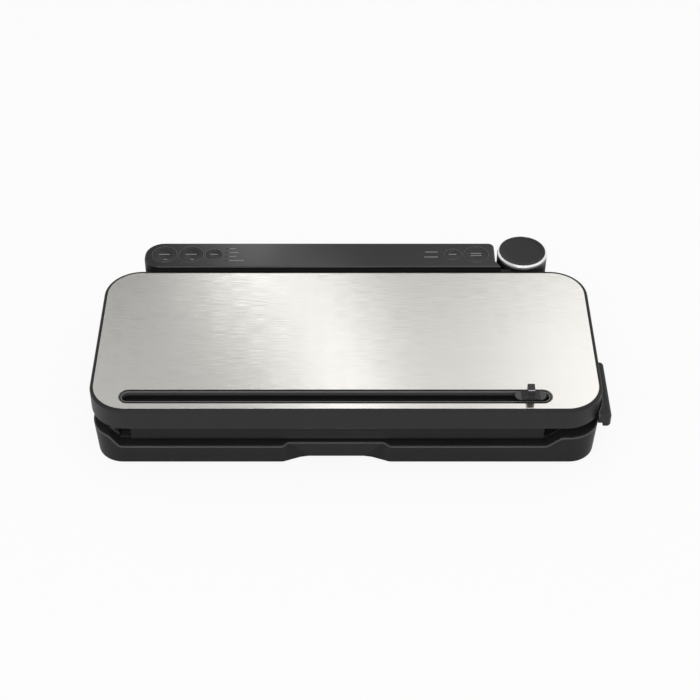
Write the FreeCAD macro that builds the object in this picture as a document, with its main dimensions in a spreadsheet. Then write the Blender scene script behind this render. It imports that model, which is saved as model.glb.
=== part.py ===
import FreeCAD, Part
import math
import os
import re
import Sketcher
from FreeCAD import Placement, Rotation, Vector

# A countertop vacuum sealer: a low base with a sealing deck, a hinged steel-topped lid with a bag
# cutter, a rear console with buttons, a docked hand-held vacuum head and a side latch lever.
# Working coordinates: X across from the middle, Y back from the lid's front face, Z up from the table.
# Every sub-part is then shifted so that the origin is below the middle of the whole object.

# Driving dimensions in millimetres
SIZES = {
    # lid
    "lid_overhang": 1,
    "lid_rear_gap": 1.6,
    "lid_top": 60,
    "lid_height": 20.4,
    "lid_corner": 30,
    "lid_wall": 2.6,
    "lid_edge": 1.6,
    "plate_rim": 2.8,
    "plate_gauge": 0.8,
    "plate_fit": 0.15,
    # cutter track and cutter
    "track_left_inset": 24,
    "track_right_inset": 40.6,
    "track_y": 16.3,
    "track_width": 15.6,
    "track_drop": 0.3,
    "rail_gap": 10.6,
    "rail_depth": 7.7,
    "slit_width": 2.4,
    "slit_end": 6,
    "cutter_inset": 17.4,
    "cutter_length": 24.8,
    "cutter_rise": 1.4,
    "wedge_length": 15,
    "wedge_rise": 2.4,
    "fin_length": 5.6,
    "fin_width": 7.5,
    "fin_rise": 6.3,
    "slide_gap": 0.25,
    "blade_gauge": 0.6,
    "blade_length": 11,
    "blade_tip": 21.2,
    # lid liner with its sealing block
    "liner_gauge": 2.4,
    "liner_fit": 0.2,
    "block_left_inset": 36,
    "block_tongue": 4.5,
    "block_right_inset": 45,
    "block_front": 5,
    "block_rear": 84,
    "block_bottom": 24.4,
    "block_wall": 3,
    "skirt_inset": 15,
    "skirt_drop": 8,
    "skirt_front": 36,
    # base tray
    "base_half": 202,
    "base_depth": 204,
    "base_floor": 2,
    "base_top": 29.6,
    "base_wall": 2.6,
    "base_corner": 25,
    "base_foot_corner": 21.3,
    "base_side_lean": 2.2,
    "base_toe": 0.6,
    "base_edge": 0.7,
    "front_beam": 12,
    "tray_corner": 20,
    "lip_top": 20,
    "mouth_left_inset": 22.2,
    "mouth_left_ramp": 7.9,
    "mouth_right_inset": 42.3,
    "mouth_right_ramp": 11.3,
    "mouth_round": 4,
    "recess_middle": 7.9,
    "recess_half": 49.5,
    "recess_flat": 20,
    "recess_depth": 7.8,
    "recess_top_half": 43,
    "recess_top_flat": 40,
    "recess_top_depth": 4.2,
    # deck
    "deck_gauge": 2.6,
    "housing_fit": 0.3,
    "cover_inset": 14,
    "cover_front": 88,
    "cover_top": 36.5,
    "cover_wall": 2.4,
    "cover_corner": 10,
    "channel_inset": 58,
    "channel_front": 43,
    "channel_rear": 73,
    "channel_floor": 12,
    "channel_wall": 2,
    "gasket_gap": 0.6,
    "gasket_width": 5,
    "gasket_groove": 1,
    "gasket_rise": 2.1,
    "clamp_gap": 0.4,
    "drip_wall": 1.2,
    "drip_fit": 0.4,
    "drip_lip": 1.5,
    "port_x": -10,
    "port_radius": 2,
    "port_flange": 5,
    # heating bar
    "heat_inset": 47,
    "heat_y": 29,
    "heat_width": 7.6,
    "heat_groove": 1.2,
    "heat_rise": 2.6,
    "strip_width": 3,
    "strip_gauge": 0.15,
    "tape_width": 6,
    "tape_gauge": 0.2,
    "seal_width": 7,
    "seal_height": 5,
    # hinge
    "hinge_inset": 10,
    "hinge_drop": 6,
    "hinge_x": 120,
    "arm_width": 13,
    "arm_radius": 3,
    "hinge_pin_radius": 1.5,
    "knuckle_radius": 5.4,
    "knuckle_width": 4.5,
    "hinge_gap": 0.6,
    "running_fit": 0.05,
    # latch
    "shaft_y": 79,
    "shaft_z": 13.9,
    "shaft_radius": 3,
    "bush_radius": 5,
    "hook_inset": 26,
    "hook_width": 7,
    "hook_hub": 5.5,
    "hook_arm": 6,
    "hook_top": 37,
    "nose_length": 4.5,
    "nose_height": 3.4,
    "catch_gap": 0.8,
    "catch_bar": 2.6,
    "catch_drop": 2.8,
    "catch_leg": 2.2,
    "lever_gap": 0.8,
    "lever_reach": 7,
    "lever_front": 9.5,
    "lever_rear": 73,
    "lever_tuck": 3.4,
    "lever_ledge": 1.6,
    "lever_corner": 3.4,
    "lever_bottom": 37.4,
    "lever_foot": 32.8,
    "lever_top": 45,
    "lever_arm": 3.2,
    "lever_hub": 8,
    "lever_round": 2.2,
    "lever_root": 22,
    "shaft_seat": 2.4,
    "bush_inset": 2,
    # console and controls
    "console_left_inset": 29,
    "console_right_inset": 74,
    "console_depth": 32.4,
    "console_top": 63.3,
    "console_wall": 2.4,
    "console_left_round": 16,
    "console_right_round": 5,
    "console_front_round": 12,
    "flare_reach": 4.6,
    "flare_depth": 13,
    "apron_top": 58.5,
    "apron_reach": 13,
    "panel_gauge": 3,
    "panel_edge": 1.2,
    "button_inset": 15.7,
    "vacuum_inset": 16.8,
    "seal_step": 23,
    "mode_step": 19.6,
    "select_step": 20.1,
    "handheld_inset": 16,
    "left_light_step": 10.7,
    "right_light_step": 10.1,
    "left_light_pitch": 5.4,
    "right_light_pitch": 6.7,
    "boss_radius": 2.5,
    "boss_margin": 18,
    "button_large": 9.9,
    "button_small": 6.6,
    "button_gap": 0.25,
    "button_proud": 0.25,
    "button_flange": 1.1,
    "flange_gauge": 1.8,
    "flange_gap": 0.4,
    "button_travel": 0.8,
    "key_gap": 0.3,
    "light_radius": 0.8,
    "board_gauge": 1.6,
    "board_margin": 5,
    "key_size": 6,
    "key_height": 3.4,
    # hand-held head and dock
    "dock_side_inset": 50,
    "dock_rear_inset": 11,
    "dock_radius": 21.4,
    "dock_wall": 2.6,
    "dock_top": 57.3,
    "dock_gap": 0.3,
    "dock_skin": 2.5,
    "head_gap": 0.3,
    "head_bottom": 24,
    "head_seat": 59,
    "head_top": 63.4,
    "ring_width": 1.6,
    "ring_bevel": 1.2,
    "cap_gap": 0.1,
    "head_chamfer": 0.7,
    "cap_drop": 0.3,
    "nozzle_radius": 7,
    "nozzle_bore": 3,
    "nozzle_drop": 6,
    "hose_inner": 9,
    "hose_outer": 17,
    # pump and electrics
    "mount_radius": 4,
    "mount_height": 3,
    "bracket_gauge": 1.4,
    "motor_radius": 12,
    "motor_left": 20,
    "motor_length": 44,
    "motor_y": 125,
    "motor_z": 21.5,
    "motor_shaft_radius": 1.5,
    "shaft_left": 2,
    "eccentric_radius": 6,
    "eccentric_throw": 2,
    "eccentric_width": 6,
    "crank_gap": 1,
    "saddle_gauge": 4,
    "saddle_inset": 4,
    "pump_length": 46,
    "pump_depth": 40,
    "pump_wall": 3,
    "pump_height": 24,
    "valve_length": 25,
    "valve_depth": 16,
    "valve_height": 22,
    "valve_gap": 8,
    "tube_outer": 2.5,
    "tube_inner": 1.5,
    "tube_bend": 8,
    "spigot_length": 6,
    "switch_radius": 9,
    "switch_height": 14,
    "switch_x": 120,
    "power_inset": 47,
    "power_length": 70,
    "power_depth": 55,
    "power_y": 130,
    "power_z": 10,
    "transformer_length": 40,
    "transformer_depth": 34,
    "transformer_height": 21,
    "lid_switch_x": -100,
    "lid_switch_length": 20,
    "lid_switch_depth": 6,
    "lid_switch_height": 10,
    "gland_x": 120,
    "gland_z": 16,
    "gland_radius": 6,
    "gland_flange": 8,
    "gland_lip": 2.2,
    "gland_bore": 3.2,
    # feet and screws
    "foot_radius": 8,
    "foot_recess": 1,
    "foot_inset": 52,
    "foot_front": 30,
    "foot_rear_inset": 29,
    "post_radius": 4,
    "screw_radius": 1.5,
    "screw_head": 3,
    "screw_head_height": 1.6,
    "screw_length": 10,
    "screw_gap": 0.2,
    "screw_inset": 32,
    "screw_front": 22,
    "screw_rear_inset": 44,
}

# Places that follow from the driving dimensions
DERIVED = {
    "lid_half": "base_half + lid_overhang",
    "console_rear": "base_depth",
    "console_front": "console_rear - console_depth",
    "lid_depth": "console_front - lid_rear_gap",
    "dock_x": "base_half - dock_side_inset",
    "dock_y": "base_depth - dock_rear_inset",
    "frame_x": "-lever_reach / 2",
    "frame_y": "-(dock_y + dock_radius + dock_gap + dock_skin) / 2",
    "lid_bottom": "lid_top - lid_height",
    "lid_ceiling": "lid_top - lid_wall",
    "plate_seat": "lid_top - plate_gauge",
    "liner_top": "lid_bottom + liner_gauge",
    "track_left": "lid_half - track_left_inset",
    "track_right": "lid_half - track_right_inset",
    "cutter_park": "track_right - cutter_inset",
    "track_top": "lid_top - track_drop",
    "rail_floor": "track_top - rail_depth",
    "block_left": "base_half - block_left_inset",
    "block_right": "base_half - block_right_inset",
    "skirt_half": "base_half - skirt_inset",
    "mouth_left": "base_half - mouth_left_inset",
    "mouth_right": "base_half - mouth_right_inset",
    "tray_floor": "base_floor + base_wall",
    "tray_half": "base_half - base_side_lean - base_wall",
    "tray_rear": "base_depth - base_toe - base_wall",
    "deck_half": "tray_half - housing_fit",
    "deck_front": "front_beam + housing_fit",
    "deck_rear": "tray_rear - housing_fit",
    "deck_under": "lip_top - deck_gauge",
    "cover_half": "base_half - cover_inset",
    "cover_rear": "console_front - housing_fit",
    "channel_half": "base_half - channel_inset",
    "ring_half": "channel_half + channel_wall + gasket_gap",
    "ring_front": "channel_front - channel_wall - gasket_gap",
    "ring_rear": "channel_rear + channel_wall + gasket_gap",
    "heat_half": "base_half - heat_inset",
    "heat_seat": "lip_top - heat_groove",
    "heat_top": "lip_top + heat_rise",
    "tape_top": "heat_top + strip_gauge + tape_gauge",
    "hinge_y": "lid_depth - hinge_inset",
    "hinge_z": "lid_top - hinge_drop",
    "hook_x": "base_half - hook_inset",
    "nose_tip": "shaft_y - hook_arm / 2 - nose_length",
    "nose_under": "hook_top - nose_height",
    "lever_inside": "lid_half + lever_gap",
    "lever_outside": "lid_half + lever_reach",
    "console_left": "base_half - console_left_inset",
    "console_right": "base_half - console_right_inset",
    "apron_right": "console_right + apron_reach",
    "button_y": "console_rear - button_inset",
    "vacuum_x": "vacuum_inset - console_left",
    "seal_x": "vacuum_x + seal_step",
    "mode_x": "seal_x + mode_step",
    "left_lights_x": "mode_x + left_light_step",
    "handheld_x": "console_right - handheld_inset",
    "select_x": "handheld_x - select_step",
    "right_lights_x": "select_x - right_light_step",
    "boss_left": "left_lights_x + boss_margin",
    "boss_right": "right_lights_x - 2 * boss_margin",
    "boss_middle": "(boss_left + boss_right) / 2",
    "panel_under": "console_top - panel_gauge",
    "board_drop": "flange_gap + flange_gauge + button_travel + key_gap + key_height",
    "board_top": "panel_under - board_drop",
    "key_top": "board_top + key_height",
    "flange_top": "panel_under - flange_gap",
    "head_radius": "dock_radius - dock_wall - head_gap",
    "ring_bottom": "dock_top + head_gap",
    "well_floor": "tray_floor + dock_wall",
    "bracket_under": "tray_floor + mount_height",
    "bracket_top": "bracket_under + bracket_gauge",
    "pump_right": "motor_left - crank_gap",
    "pump_left": "pump_right - pump_length",
    "pump_front": "motor_y - pump_depth / 2",
    "pump_rear": "motor_y + pump_depth / 2",
    "crank_right": "pump_right - pump_wall",
    "valve_right": "pump_left - valve_gap",
    "valve_left": "valve_right - valve_length",
    "valve_x": "valve_right - valve_length / 2",
    "power_left": "base_half - power_inset",
    "port_z": "(tray_floor + channel_floor - channel_wall) / 2",
    "foot_x": "base_half - foot_inset",
    "foot_rear": "base_depth - foot_rear_inset",
    "screw_x": "base_half - screw_inset",
    "screw_rear": "base_depth - screw_rear_inset",
}

CLOSE = 1e-3
QUARTER = math.pi / 2
EASE_STEPS = 4
NAME = re.compile(r"\b[a-z][a-z_0-9]*\b")

doc = FreeCAD.newDocument("vacuum_sealer")
sheet = doc.addObject("Spreadsheet::Sheet", "Sizes")
for row, (alias, value) in enumerate(SIZES.items(), start=1):
    sheet.set(f"A{row}", alias)
    sheet.set(f"B{row}", str(value))
    sheet.setAlias(f"B{row}", alias)
doc.recompute()

nodes = []


def bound(text):
    """Turns a formula of plain names into one that reads the sheet's cells."""
    def swap(match):
        word = match.group()
        if word in SIZES:
            return "Sizes." + word
        if word in DERIVED:
            return "(" + bound(DERIVED[word]) + ")"
        return word
    return NAME.sub(swap, str(text))


def number(text):
    """The present value of a formula."""
    return float(sheet.evalExpression(bound(text)))


def drive(item, prop, text):
    item.setExpression(prop, bound(text))


def keep(item, label):
    """Names a finished sub-part."""
    item.Label = label
    nodes.append(item)
    return item


def shift(item, x, y, z):
    """Places a primitive in the working coordinates plus the frame's shift."""
    drive(item, "Placement.Base.x", f"{x} + frame_x")
    drive(item, "Placement.Base.y", f"{y} + frame_y")
    drive(item, "Placement.Base.z", z)


def block(name, x, y, z):
    """A box between two planes in each direction."""
    item = doc.addObject("Part::Box", name)
    drive(item, "Length", f"({x[1]}) - ({x[0]})")
    drive(item, "Width", f"({y[1]}) - ({y[0]})")
    drive(item, "Height", f"({z[1]}) - ({z[0]})")
    shift(item, x[0], y[0], z[0])
    return item


TURNS = {
    "X": Rotation(Vector(0, 1, 0), 90),
    "Y": Rotation(Vector(1, 0, 0), -90),
    "Z": Rotation(),
}


def rod(name, axis, start, radius, length):
    """A cylinder from a start point along an axis."""
    item = doc.addObject("Part::Cylinder", name)
    item.Placement = Placement(Vector(), TURNS[axis])
    drive(item, "Radius", radius)
    drive(item, "Height", length)
    shift(item, *start)
    return item


def fuse(name, *items):
    item = doc.addObject("Part::MultiFuse", name)
    item.Shapes = list(items)
    return item


def cut(name, base, *tools):
    item = doc.addObject("Part::Cut", name)
    item.Base = base
    item.Tool = tools[0] if len(tools) == 1 else fuse(name + "_tools", *tools)
    return item


def group(name, *items):
    """Separate solids that share one sub-part."""
    item = doc.addObject("Part::Compound", name)
    item.Links = list(items)
    return item


def soften(name, base, radius, test):
    """Rounds the edges of a primitive that pass a test."""
    doc.recompute()
    item = doc.addObject("Part::Fillet", name)
    item.Base = base
    size = number(radius)
    chosen = [index for index, edge in enumerate(base.Shape.Edges, start=1) if test(edge)]
    item.Edges = [(index, size, size) for index in chosen]
    return item


def new_body(name):
    body = doc.addObject("PartDesign::Body", name)
    shift(body, "0", "0", "0")
    return body


def sketch_on(body, plane, level, u="0", v="0"):
    """A sketch on one of the body's own planes, raised to a level and centred at u, v."""
    sketch = body.newObject("Sketcher::SketchObject", body.Name + "_outline")
    support = [item for item in body.Origin.OriginFeatures if item.Role == plane][0]
    sketch.AttachmentSupport = [(support, "")]
    sketch.MapMode = "FlatFace"
    drive(sketch, "AttachmentOffset.Base.x", u)
    drive(sketch, "AttachmentOffset.Base.y", v)
    drive(sketch, "AttachmentOffset.Base.z", level)
    return sketch


def limit(sketch, text, *terms):
    """Adds a constraint whose size is a formula."""
    index = sketch.addConstraint(Sketcher.Constraint(*terms, number(text)))
    drive(sketch, f"Constraints[{index}]", text)


def tie(sketch, *terms):
    sketch.addConstraint(Sketcher.Constraint(*terms))


def rectangle(body, level, x, y, radius=None, plane="XY_Plane"):
    """A rectangle between two lines each way, with round corners if a radius is given."""
    width = f"({x[1]}) - ({x[0]})"
    depth = f"({y[1]}) - ({y[0]})"
    sketch = sketch_on(body, plane, level, f"({x[0]} + {x[1]}) / 2", f"({y[0]} + {y[1]}) / 2")
    half_x = number(width) / 2
    half_y = number(depth) / 2
    turn = number(radius) if radius else 0
    ends = [
        ((turn - half_x, -half_y), (half_x - turn, -half_y)),
        ((half_x, turn - half_y), (half_x, half_y - turn)),
        ((half_x - turn, half_y), (turn - half_x, half_y)),
        ((-half_x, half_y - turn), (-half_x, turn - half_y)),
    ]
    for first, last in ends:
        sketch.addGeometry(Part.LineSegment(Vector(*first, 0), Vector(*last, 0)))
    for side in range(4):
        tie(sketch, "Horizontal" if side % 2 == 0 else "Vertical", side)
    if radius:
        for side, (sx, sy) in enumerate([(1, -1), (1, 1), (-1, 1), (-1, -1)]):
            centre = Vector(sx * (half_x - turn), sy * (half_y - turn), 0)
            circle = Part.Circle(centre, Vector(0, 0, 1), turn)
            start = (side - 1) * QUARTER
            sketch.addGeometry(Part.ArcOfCircle(circle, start, start + QUARTER))
        for side in range(4):
            tie(sketch, "Tangent", side, 2, side + 4, 1)
            tie(sketch, "Tangent", side + 4, 2, (side + 1) % 4, 1)
        for corner in (5, 6, 7):
            tie(sketch, "Equal", 4, corner)
        limit(sketch, radius, "Radius", 4)
    else:
        for side in range(4):
            tie(sketch, "Coincident", side, 2, (side + 1) % 4, 1)
    tie(sketch, "Symmetric", 0, 1, 2, 1, -1, 1)
    limit(sketch, width, "DistanceX", 3, 2, 1, 1)
    limit(sketch, depth, "DistanceY", 0, 1, 2, 2)
    return sketch


def lozenge(body, level, x, y):
    """A slot outline: two straight sides and two half circles."""
    width = f"({x[1]}) - ({x[0]})"
    depth = f"({y[1]}) - ({y[0]})"
    sketch = sketch_on(body, "XY_Plane", level, f"({x[0]} + {x[1]}) / 2", f"({y[0]} + {y[1]}) / 2")
    turn = number(depth) / 2
    half = number(width) / 2 - turn
    sketch.addGeometry(Part.LineSegment(Vector(-half, -turn, 0), Vector(half, -turn, 0)))
    sketch.addGeometry(Part.LineSegment(Vector(half, turn, 0), Vector(-half, turn, 0)))
    right = Part.Circle(Vector(half, 0, 0), Vector(0, 0, 1), turn)
    left = Part.Circle(Vector(-half, 0, 0), Vector(0, 0, 1), turn)
    sketch.addGeometry(Part.ArcOfCircle(right, -QUARTER, QUARTER))
    sketch.addGeometry(Part.ArcOfCircle(left, QUARTER, 3 * QUARTER))
    tie(sketch, "Tangent", 0, 2, 2, 1)
    tie(sketch, "Tangent", 2, 2, 1, 1)
    tie(sketch, "Tangent", 1, 2, 3, 1)
    tie(sketch, "Tangent", 3, 2, 0, 1)
    tie(sketch, "Horizontal", 0)
    tie(sketch, "Symmetric", 2, 3, 3, 3, -1, 1)
    limit(sketch, f"({depth}) / 2", "Radius", 2)
    limit(sketch, f"({width}) - ({depth})", "DistanceX", 3, 3, 2, 3)
    return sketch


def disc(body, level, x, y, radius, plane="XY_Plane"):
    sketch = sketch_on(body, plane, level, x, y)
    sketch.addGeometry(Part.Circle(Vector(), Vector(0, 0, 1), number(radius)))
    tie(sketch, "Coincident", 0, 3, -1, 1)
    limit(sketch, radius, "Radius", 0)
    return sketch


def polygon(body, plane, level, points, u="0"):
    """A closed outline of straight sides through points given as formulas."""
    sketch = sketch_on(body, plane, level, u)
    spots = [Vector(number(a), number(b), 0) for a, b in points]
    count = len(spots)
    for index in range(count):
        sketch.addGeometry(Part.LineSegment(spots[index], spots[(index + 1) % count]))
    for index in range(count):
        tie(sketch, "Coincident", index, 2, (index + 1) % count, 1)
    for index, (across, up) in enumerate(points):
        limit(sketch, across, "DistanceX", -1, 1, index, 1)
        limit(sketch, up, "DistanceY", -1, 1, index, 1)
    return sketch


def pad(body, sketch, length):
    feature = body.newObject("PartDesign::Pad", body.Name + "_pad")
    feature.Profile = sketch
    drive(feature, "Length", length)
    doc.recompute()
    return feature


def pocket(body, sketch, length, forward=False):
    """Cuts from a sketch against its plane's normal, or along it if forward."""
    before = body.Shape.Volume
    feature = body.newObject("PartDesign::Pocket", body.Name + "_pocket")
    feature.Profile = sketch
    feature.Reversed = forward
    drive(feature, "Length", length)
    doc.recompute()
    if body.Shape.Volume > before - CLOSE:
        raise ValueError(f"a pocket of {body.Name} removes nothing")
    return feature


def fillet(body, radius, test):
    """Rounds the edges of the body so far that pass a test."""
    base = body.Tip
    chosen = [f"Edge{index}" for index, edge in enumerate(base.Shape.Edges, start=1) if test(edge)]
    feature = body.newObject("PartDesign::Fillet", body.Name + "_fillet")
    feature.Base = (base, chosen)
    drive(feature, "Radius", radius)
    doc.recompute()
    return feature


def turned(label, points, x, y):
    """A sub-part turned about an upright axis from a profile of radius and height."""
    body = new_body(label)
    sketch = polygon(body, "XZ_Plane", f"-({y})", points, x)
    feature = body.newObject("PartDesign::Revolution", label + "_turn")
    feature.Profile = sketch
    feature.ReferenceAxis = (sketch, ["V_Axis"])
    feature.Angle = 360
    doc.recompute()
    return keep(body, label)


def near(first, second):
    return abs(first - second) < CLOSE


def along(edge, axis):
    """True for a straight edge that runs along an axis."""
    if edge.Curve.TypeId != "Part::GeomLine":
        return False
    return near(abs(getattr(edge.Curve.Direction, axis)), 1)


# Base

def recess_outline(body, level, half, flat, depth):
    """Plan of the finger recess: each shoulder eases from the front face down to the flat."""
    ease = []
    for step in range(EASE_STEPS + 1):
        share = step / EASE_STEPS
        ease.append((f"{half} - ({half} - {flat}) * {share}", f"{depth} * {share ** 2 * (3 - 2 * share)}"))
    left = [(f"-recess_middle - ({x})", y) for x, y in ease]
    right = [(f"-recess_middle + ({x})", y) for x, y in reversed(ease)]
    front = [(right[-1][0], "-front_beam"), (left[0][0], "-front_beam")]
    return polygon(body, "XY_Plane", level, left + right + front)


def base_tray():
    """Outer shell of the base: leaning walls, front lip with bag guides, finger recess, dock bulge."""
    body = new_body("base_tray")
    side = ("-(base_half - base_side_lean)", "base_half - base_side_lean")
    toe = ("base_toe", "base_depth - base_toe")
    foot = rectangle(body, "base_floor", side, toe, "base_foot_corner")
    rim = rectangle(body, "base_top", ("-base_half", "base_half"), ("0", "base_depth"), "base_corner")
    loft = body.newObject("PartDesign::AdditiveLoft", "base_tray_walls")
    loft.Profile = foot
    loft.Sections = [rim]
    loft.Ruled = True
    doc.recompute()
    bulge = disc(body, "base_floor", "dock_x", "dock_y", "dock_radius + dock_gap + dock_skin")
    pad(body, bulge, "base_top - base_floor")
    inside = ("-tray_half", "tray_half")
    hollow = rectangle(body, "base_top", inside, ("front_beam", "tray_rear"), "tray_corner")
    pocket(body, hollow, "base_top - tray_floor")
    well = disc(body, "base_top", "dock_x", "dock_y", "dock_radius + dock_gap")
    pocket(body, well, "base_top - tray_floor")
    above = "base_top + base_wall"
    steps = [
        ("-mouth_left", "lip_top"),
        ("mouth_right", "lip_top"),
        ("mouth_right + mouth_right_ramp", "base_top"),
        ("-(mouth_left + mouth_left_ramp)", "base_top"),
    ]
    mouth = polygon(body, "XZ_Plane", "front_beam", [
        *steps[:3],
        (steps[2][0], above),
        (steps[3][0], above),
        steps[3],
    ])
    pocket(body, mouth, "2 * front_beam + housing_fit")
    bends = [(number(x), number(z)) for x, z in steps]

    def guide_bend(edge):
        middle = edge.CenterOfMass
        return along(edge, "y") and any(near(middle.x, x) and near(middle.z, z) for x, z in bends)

    fillet(body, "mouth_round", guide_bend)
    floor = number("base_floor")
    fillet(body, "base_edge", lambda edge: near(edge.BoundBox.ZMax, floor))
    top = ("recess_top_half", "recess_top_flat", "recess_top_depth")
    recess = body.newObject("PartDesign::SubtractiveLoft", "base_tray_recess")
    recess.Profile = recess_outline(body, "lip_top + base_wall", *top)
    recess.Sections = [
        recess_outline(body, "base_floor - base_wall", "recess_half", "recess_flat", "recess_depth"),
    ]
    recess.Ruled = True
    doc.recompute()
    bush = disc(body, "base_half + lip_top", "shaft_y", "shaft_z", "bush_radius", "YZ_Plane")
    pocket(body, bush, "base_half + lip_top - tray_half + base_wall")
    gland = disc(body, "-(tray_rear - base_wall)", "-gland_x", "gland_z", "gland_radius", "XZ_Plane")
    pocket(body, gland, "base_depth - tray_rear + 2 * base_wall")
    for x in ("-foot_x", "foot_x"):
        for y in ("foot_front", "foot_rear"):
            pocket(body, disc(body, "base_floor", x, y, "foot_radius"), "foot_recess", forward=True)
    for x, y in screw_spots():
        head = disc(body, "base_floor", x, y, "screw_head + screw_gap")
        pocket(body, head, "screw_head_height", forward=True)
        shank = disc(body, "base_floor", x, y, "screw_radius + screw_gap")
        pocket(body, shank, "base_wall", forward=True)
    keep(body, "base_tray")


def screw_spots():
    return [(x, y) for x in ("-screw_x", "screw_x") for y in ("screw_front", "screw_rear")]


def base_deck():
    """Upper moulding: low sealing deck with a vacuum channel, raised machine cover and hinge arms."""
    body = new_body("base_deck")
    across = ("-deck_half", "deck_half")
    plate = rectangle(body, "deck_under", across, ("deck_front", "deck_rear"), "tray_corner - housing_fit")
    pad(body, plate, "deck_gauge")
    wide = ("-cover_half", "cover_half")
    cover = rectangle(body, "lip_top", wide, ("cover_front", "cover_rear"), "cover_corner")
    pad(body, cover, "cover_top - lip_top")
    rear = rectangle(body, "lip_top", across, ("cover_front", "deck_rear"), "tray_corner - housing_fit")
    pad(body, rear, "base_top - lip_top")
    trough_y = ("channel_front - channel_wall", "channel_rear + channel_wall")
    trough_x = ("-(channel_half + channel_wall)", "channel_half + channel_wall")
    trough = rectangle(body, "channel_floor - channel_wall", trough_x, trough_y)
    pad(body, trough, "lip_top - channel_floor")
    for x in ("-hinge_x", "hinge_x"):
        arm_x = (f"{x} - arm_width / 2", f"{x} + arm_width / 2")
        arm_y = ("hinge_y - arm_radius", "hinge_y + arm_radius")
        pad(body, rectangle(body, "base_top", arm_x, arm_y), "hinge_z - base_top")
        eye = disc(body, f"{x} - arm_width / 2", "hinge_y", "hinge_z", "arm_radius", "YZ_Plane")
        pad(body, eye, "arm_width")
    inside = ("-(cover_half - cover_wall)", "cover_half - cover_wall")
    room_y = ("cover_front + cover_wall", "cover_rear - cover_wall")
    pocket(body, rectangle(body, "cover_top - cover_wall", inside, room_y), "cover_top")
    back_y = ("cover_front + cover_wall", "deck_rear - cover_wall")
    pocket(body, rectangle(body, "base_top - cover_wall", inside, back_y), "base_top")
    for x, y in screw_spots():
        top = "deck_under" if y == "screw_front" else "cover_top - cover_wall"
        pad(body, disc(body, "tray_floor", x, y, "post_radius"), f"{top} - tray_floor + housing_fit")
        hole = disc(body, "tray_floor", x, y, "screw_radius")
        pocket(body, hole, "screw_length", forward=True)
    basin = rectangle(body, "lip_top", ("-channel_half", "channel_half"), ("channel_front", "channel_rear"))
    pocket(body, basin, "lip_top - channel_floor")
    port = disc(body, "lip_top", "port_x", "(channel_front + channel_rear) / 2", "port_radius")
    pocket(body, port, "lip_top")
    pocket(body, ring_outline(body, "lip_top"), "gasket_groove")
    seat_y = ("heat_y - heat_width / 2", "heat_y + heat_width / 2")
    pocket(body, rectangle(body, "lip_top", ("-heat_half", "heat_half"), seat_y), "heat_groove")
    for x in ("-hook_x", "hook_x"):
        slot_x = (f"{x} - hook_width / 2 - hinge_gap", f"{x} + hook_width / 2 + hinge_gap")
        slot_y = ("nose_tip - nose_length - catch_bar - catch_gap", "shaft_y + hook_arm")
        pocket(body, rectangle(body, "lip_top", slot_x, slot_y), "lip_top")
    pocket(body, disc(body, "cover_top", "dock_x", "dock_y", "dock_radius + dock_gap"), "cover_top")
    for x in ("-hinge_x", "hinge_x"):
        pin = disc(body, f"{x} - arm_width", "hinge_y", "hinge_z", "hinge_pin_radius", "YZ_Plane")
        pocket(body, pin, "2 * arm_width", forward=True)
    lead = disc(body, "-(deck_rear - 2 * cover_wall)", "-gland_x", "gland_z", "gland_bore", "XZ_Plane")
    pocket(body, lead, "3 * cover_wall")
    wires_y = ("cover_rear + 3 * cover_wall", "deck_rear - 3 * cover_wall")
    pocket(body, rectangle(body, "base_top", ("-gland_x", "0"), wires_y), "2 * cover_wall")
    keep(body, "base_deck")


def inner_lines(sketch, x, y):
    """Adds a plain inner rectangle to a rectangle sketch that is centred on the same point."""
    half_x = number(f"({x[1]}) - ({x[0]})") / 2
    half_y = number(f"({y[1]}) - ({y[0]})") / 2
    spots = [(-half_x, -half_y), (half_x, -half_y), (half_x, half_y), (-half_x, half_y)]
    first = sketch.GeometryCount
    for index in range(4):
        start = Vector(*spots[index], 0)
        sketch.addGeometry(Part.LineSegment(start, Vector(*spots[(index + 1) % 4], 0)))
    for index in range(4):
        tie(sketch, "Coincident", first + index, 2, first + (index + 1) % 4, 1)
        tie(sketch, "Horizontal" if index % 2 == 0 else "Vertical", first + index)
    tie(sketch, "Symmetric", first, 1, first + 2, 1, -1, 1)
    limit(sketch, f"({x[1]}) - ({x[0]})", "DistanceX", first, 1, first, 2)
    limit(sketch, f"({y[1]}) - ({y[0]})", "DistanceY", first + 1, 1, first + 1, 2)


def ring_outline(body, level):
    """The gaskets' flat ring around the vacuum channel."""
    ring_x = ("-(ring_half + gasket_width)", "ring_half + gasket_width")
    ring_y = ("ring_front - gasket_width", "ring_rear + gasket_width")
    outline = rectangle(body, level, ring_x, ring_y)
    inner_lines(outline, ("-ring_half", "ring_half"), ("ring_front", "ring_rear"))
    return outline


def gasket(label, bottom, height):
    body = new_body(label)
    pad(body, ring_outline(body, bottom), height)
    keep(body, label)


def sealing_deck():
    """Gaskets, heating bar with its strip and tape, drip tray and vacuum port."""
    gasket("lower_gasket", "lip_top - gasket_groove", "gasket_groove + gasket_rise")
    seat_y = ("heat_y - heat_width / 2", "heat_y + heat_width / 2")
    heat_x = ("-heat_half", "heat_half")
    keep(block("heat_bar_block", heat_x, seat_y, ("heat_seat", "heat_top")), "heat_bar")
    strip_y = ("heat_y - strip_width / 2", "heat_y + strip_width / 2")
    strip_z = ("heat_top", "heat_top + strip_gauge")
    keep(block("heat_strip_band", heat_x, strip_y, strip_z), "heat_strip")
    tape_y = ("heat_y - tape_width / 2", "heat_y + tape_width / 2")
    keep(block("release_tape_band", heat_x, tape_y, ("heat_top + strip_gauge", "tape_top")), "release_tape")
    drip_tray()
    vacuum_port()


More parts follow.
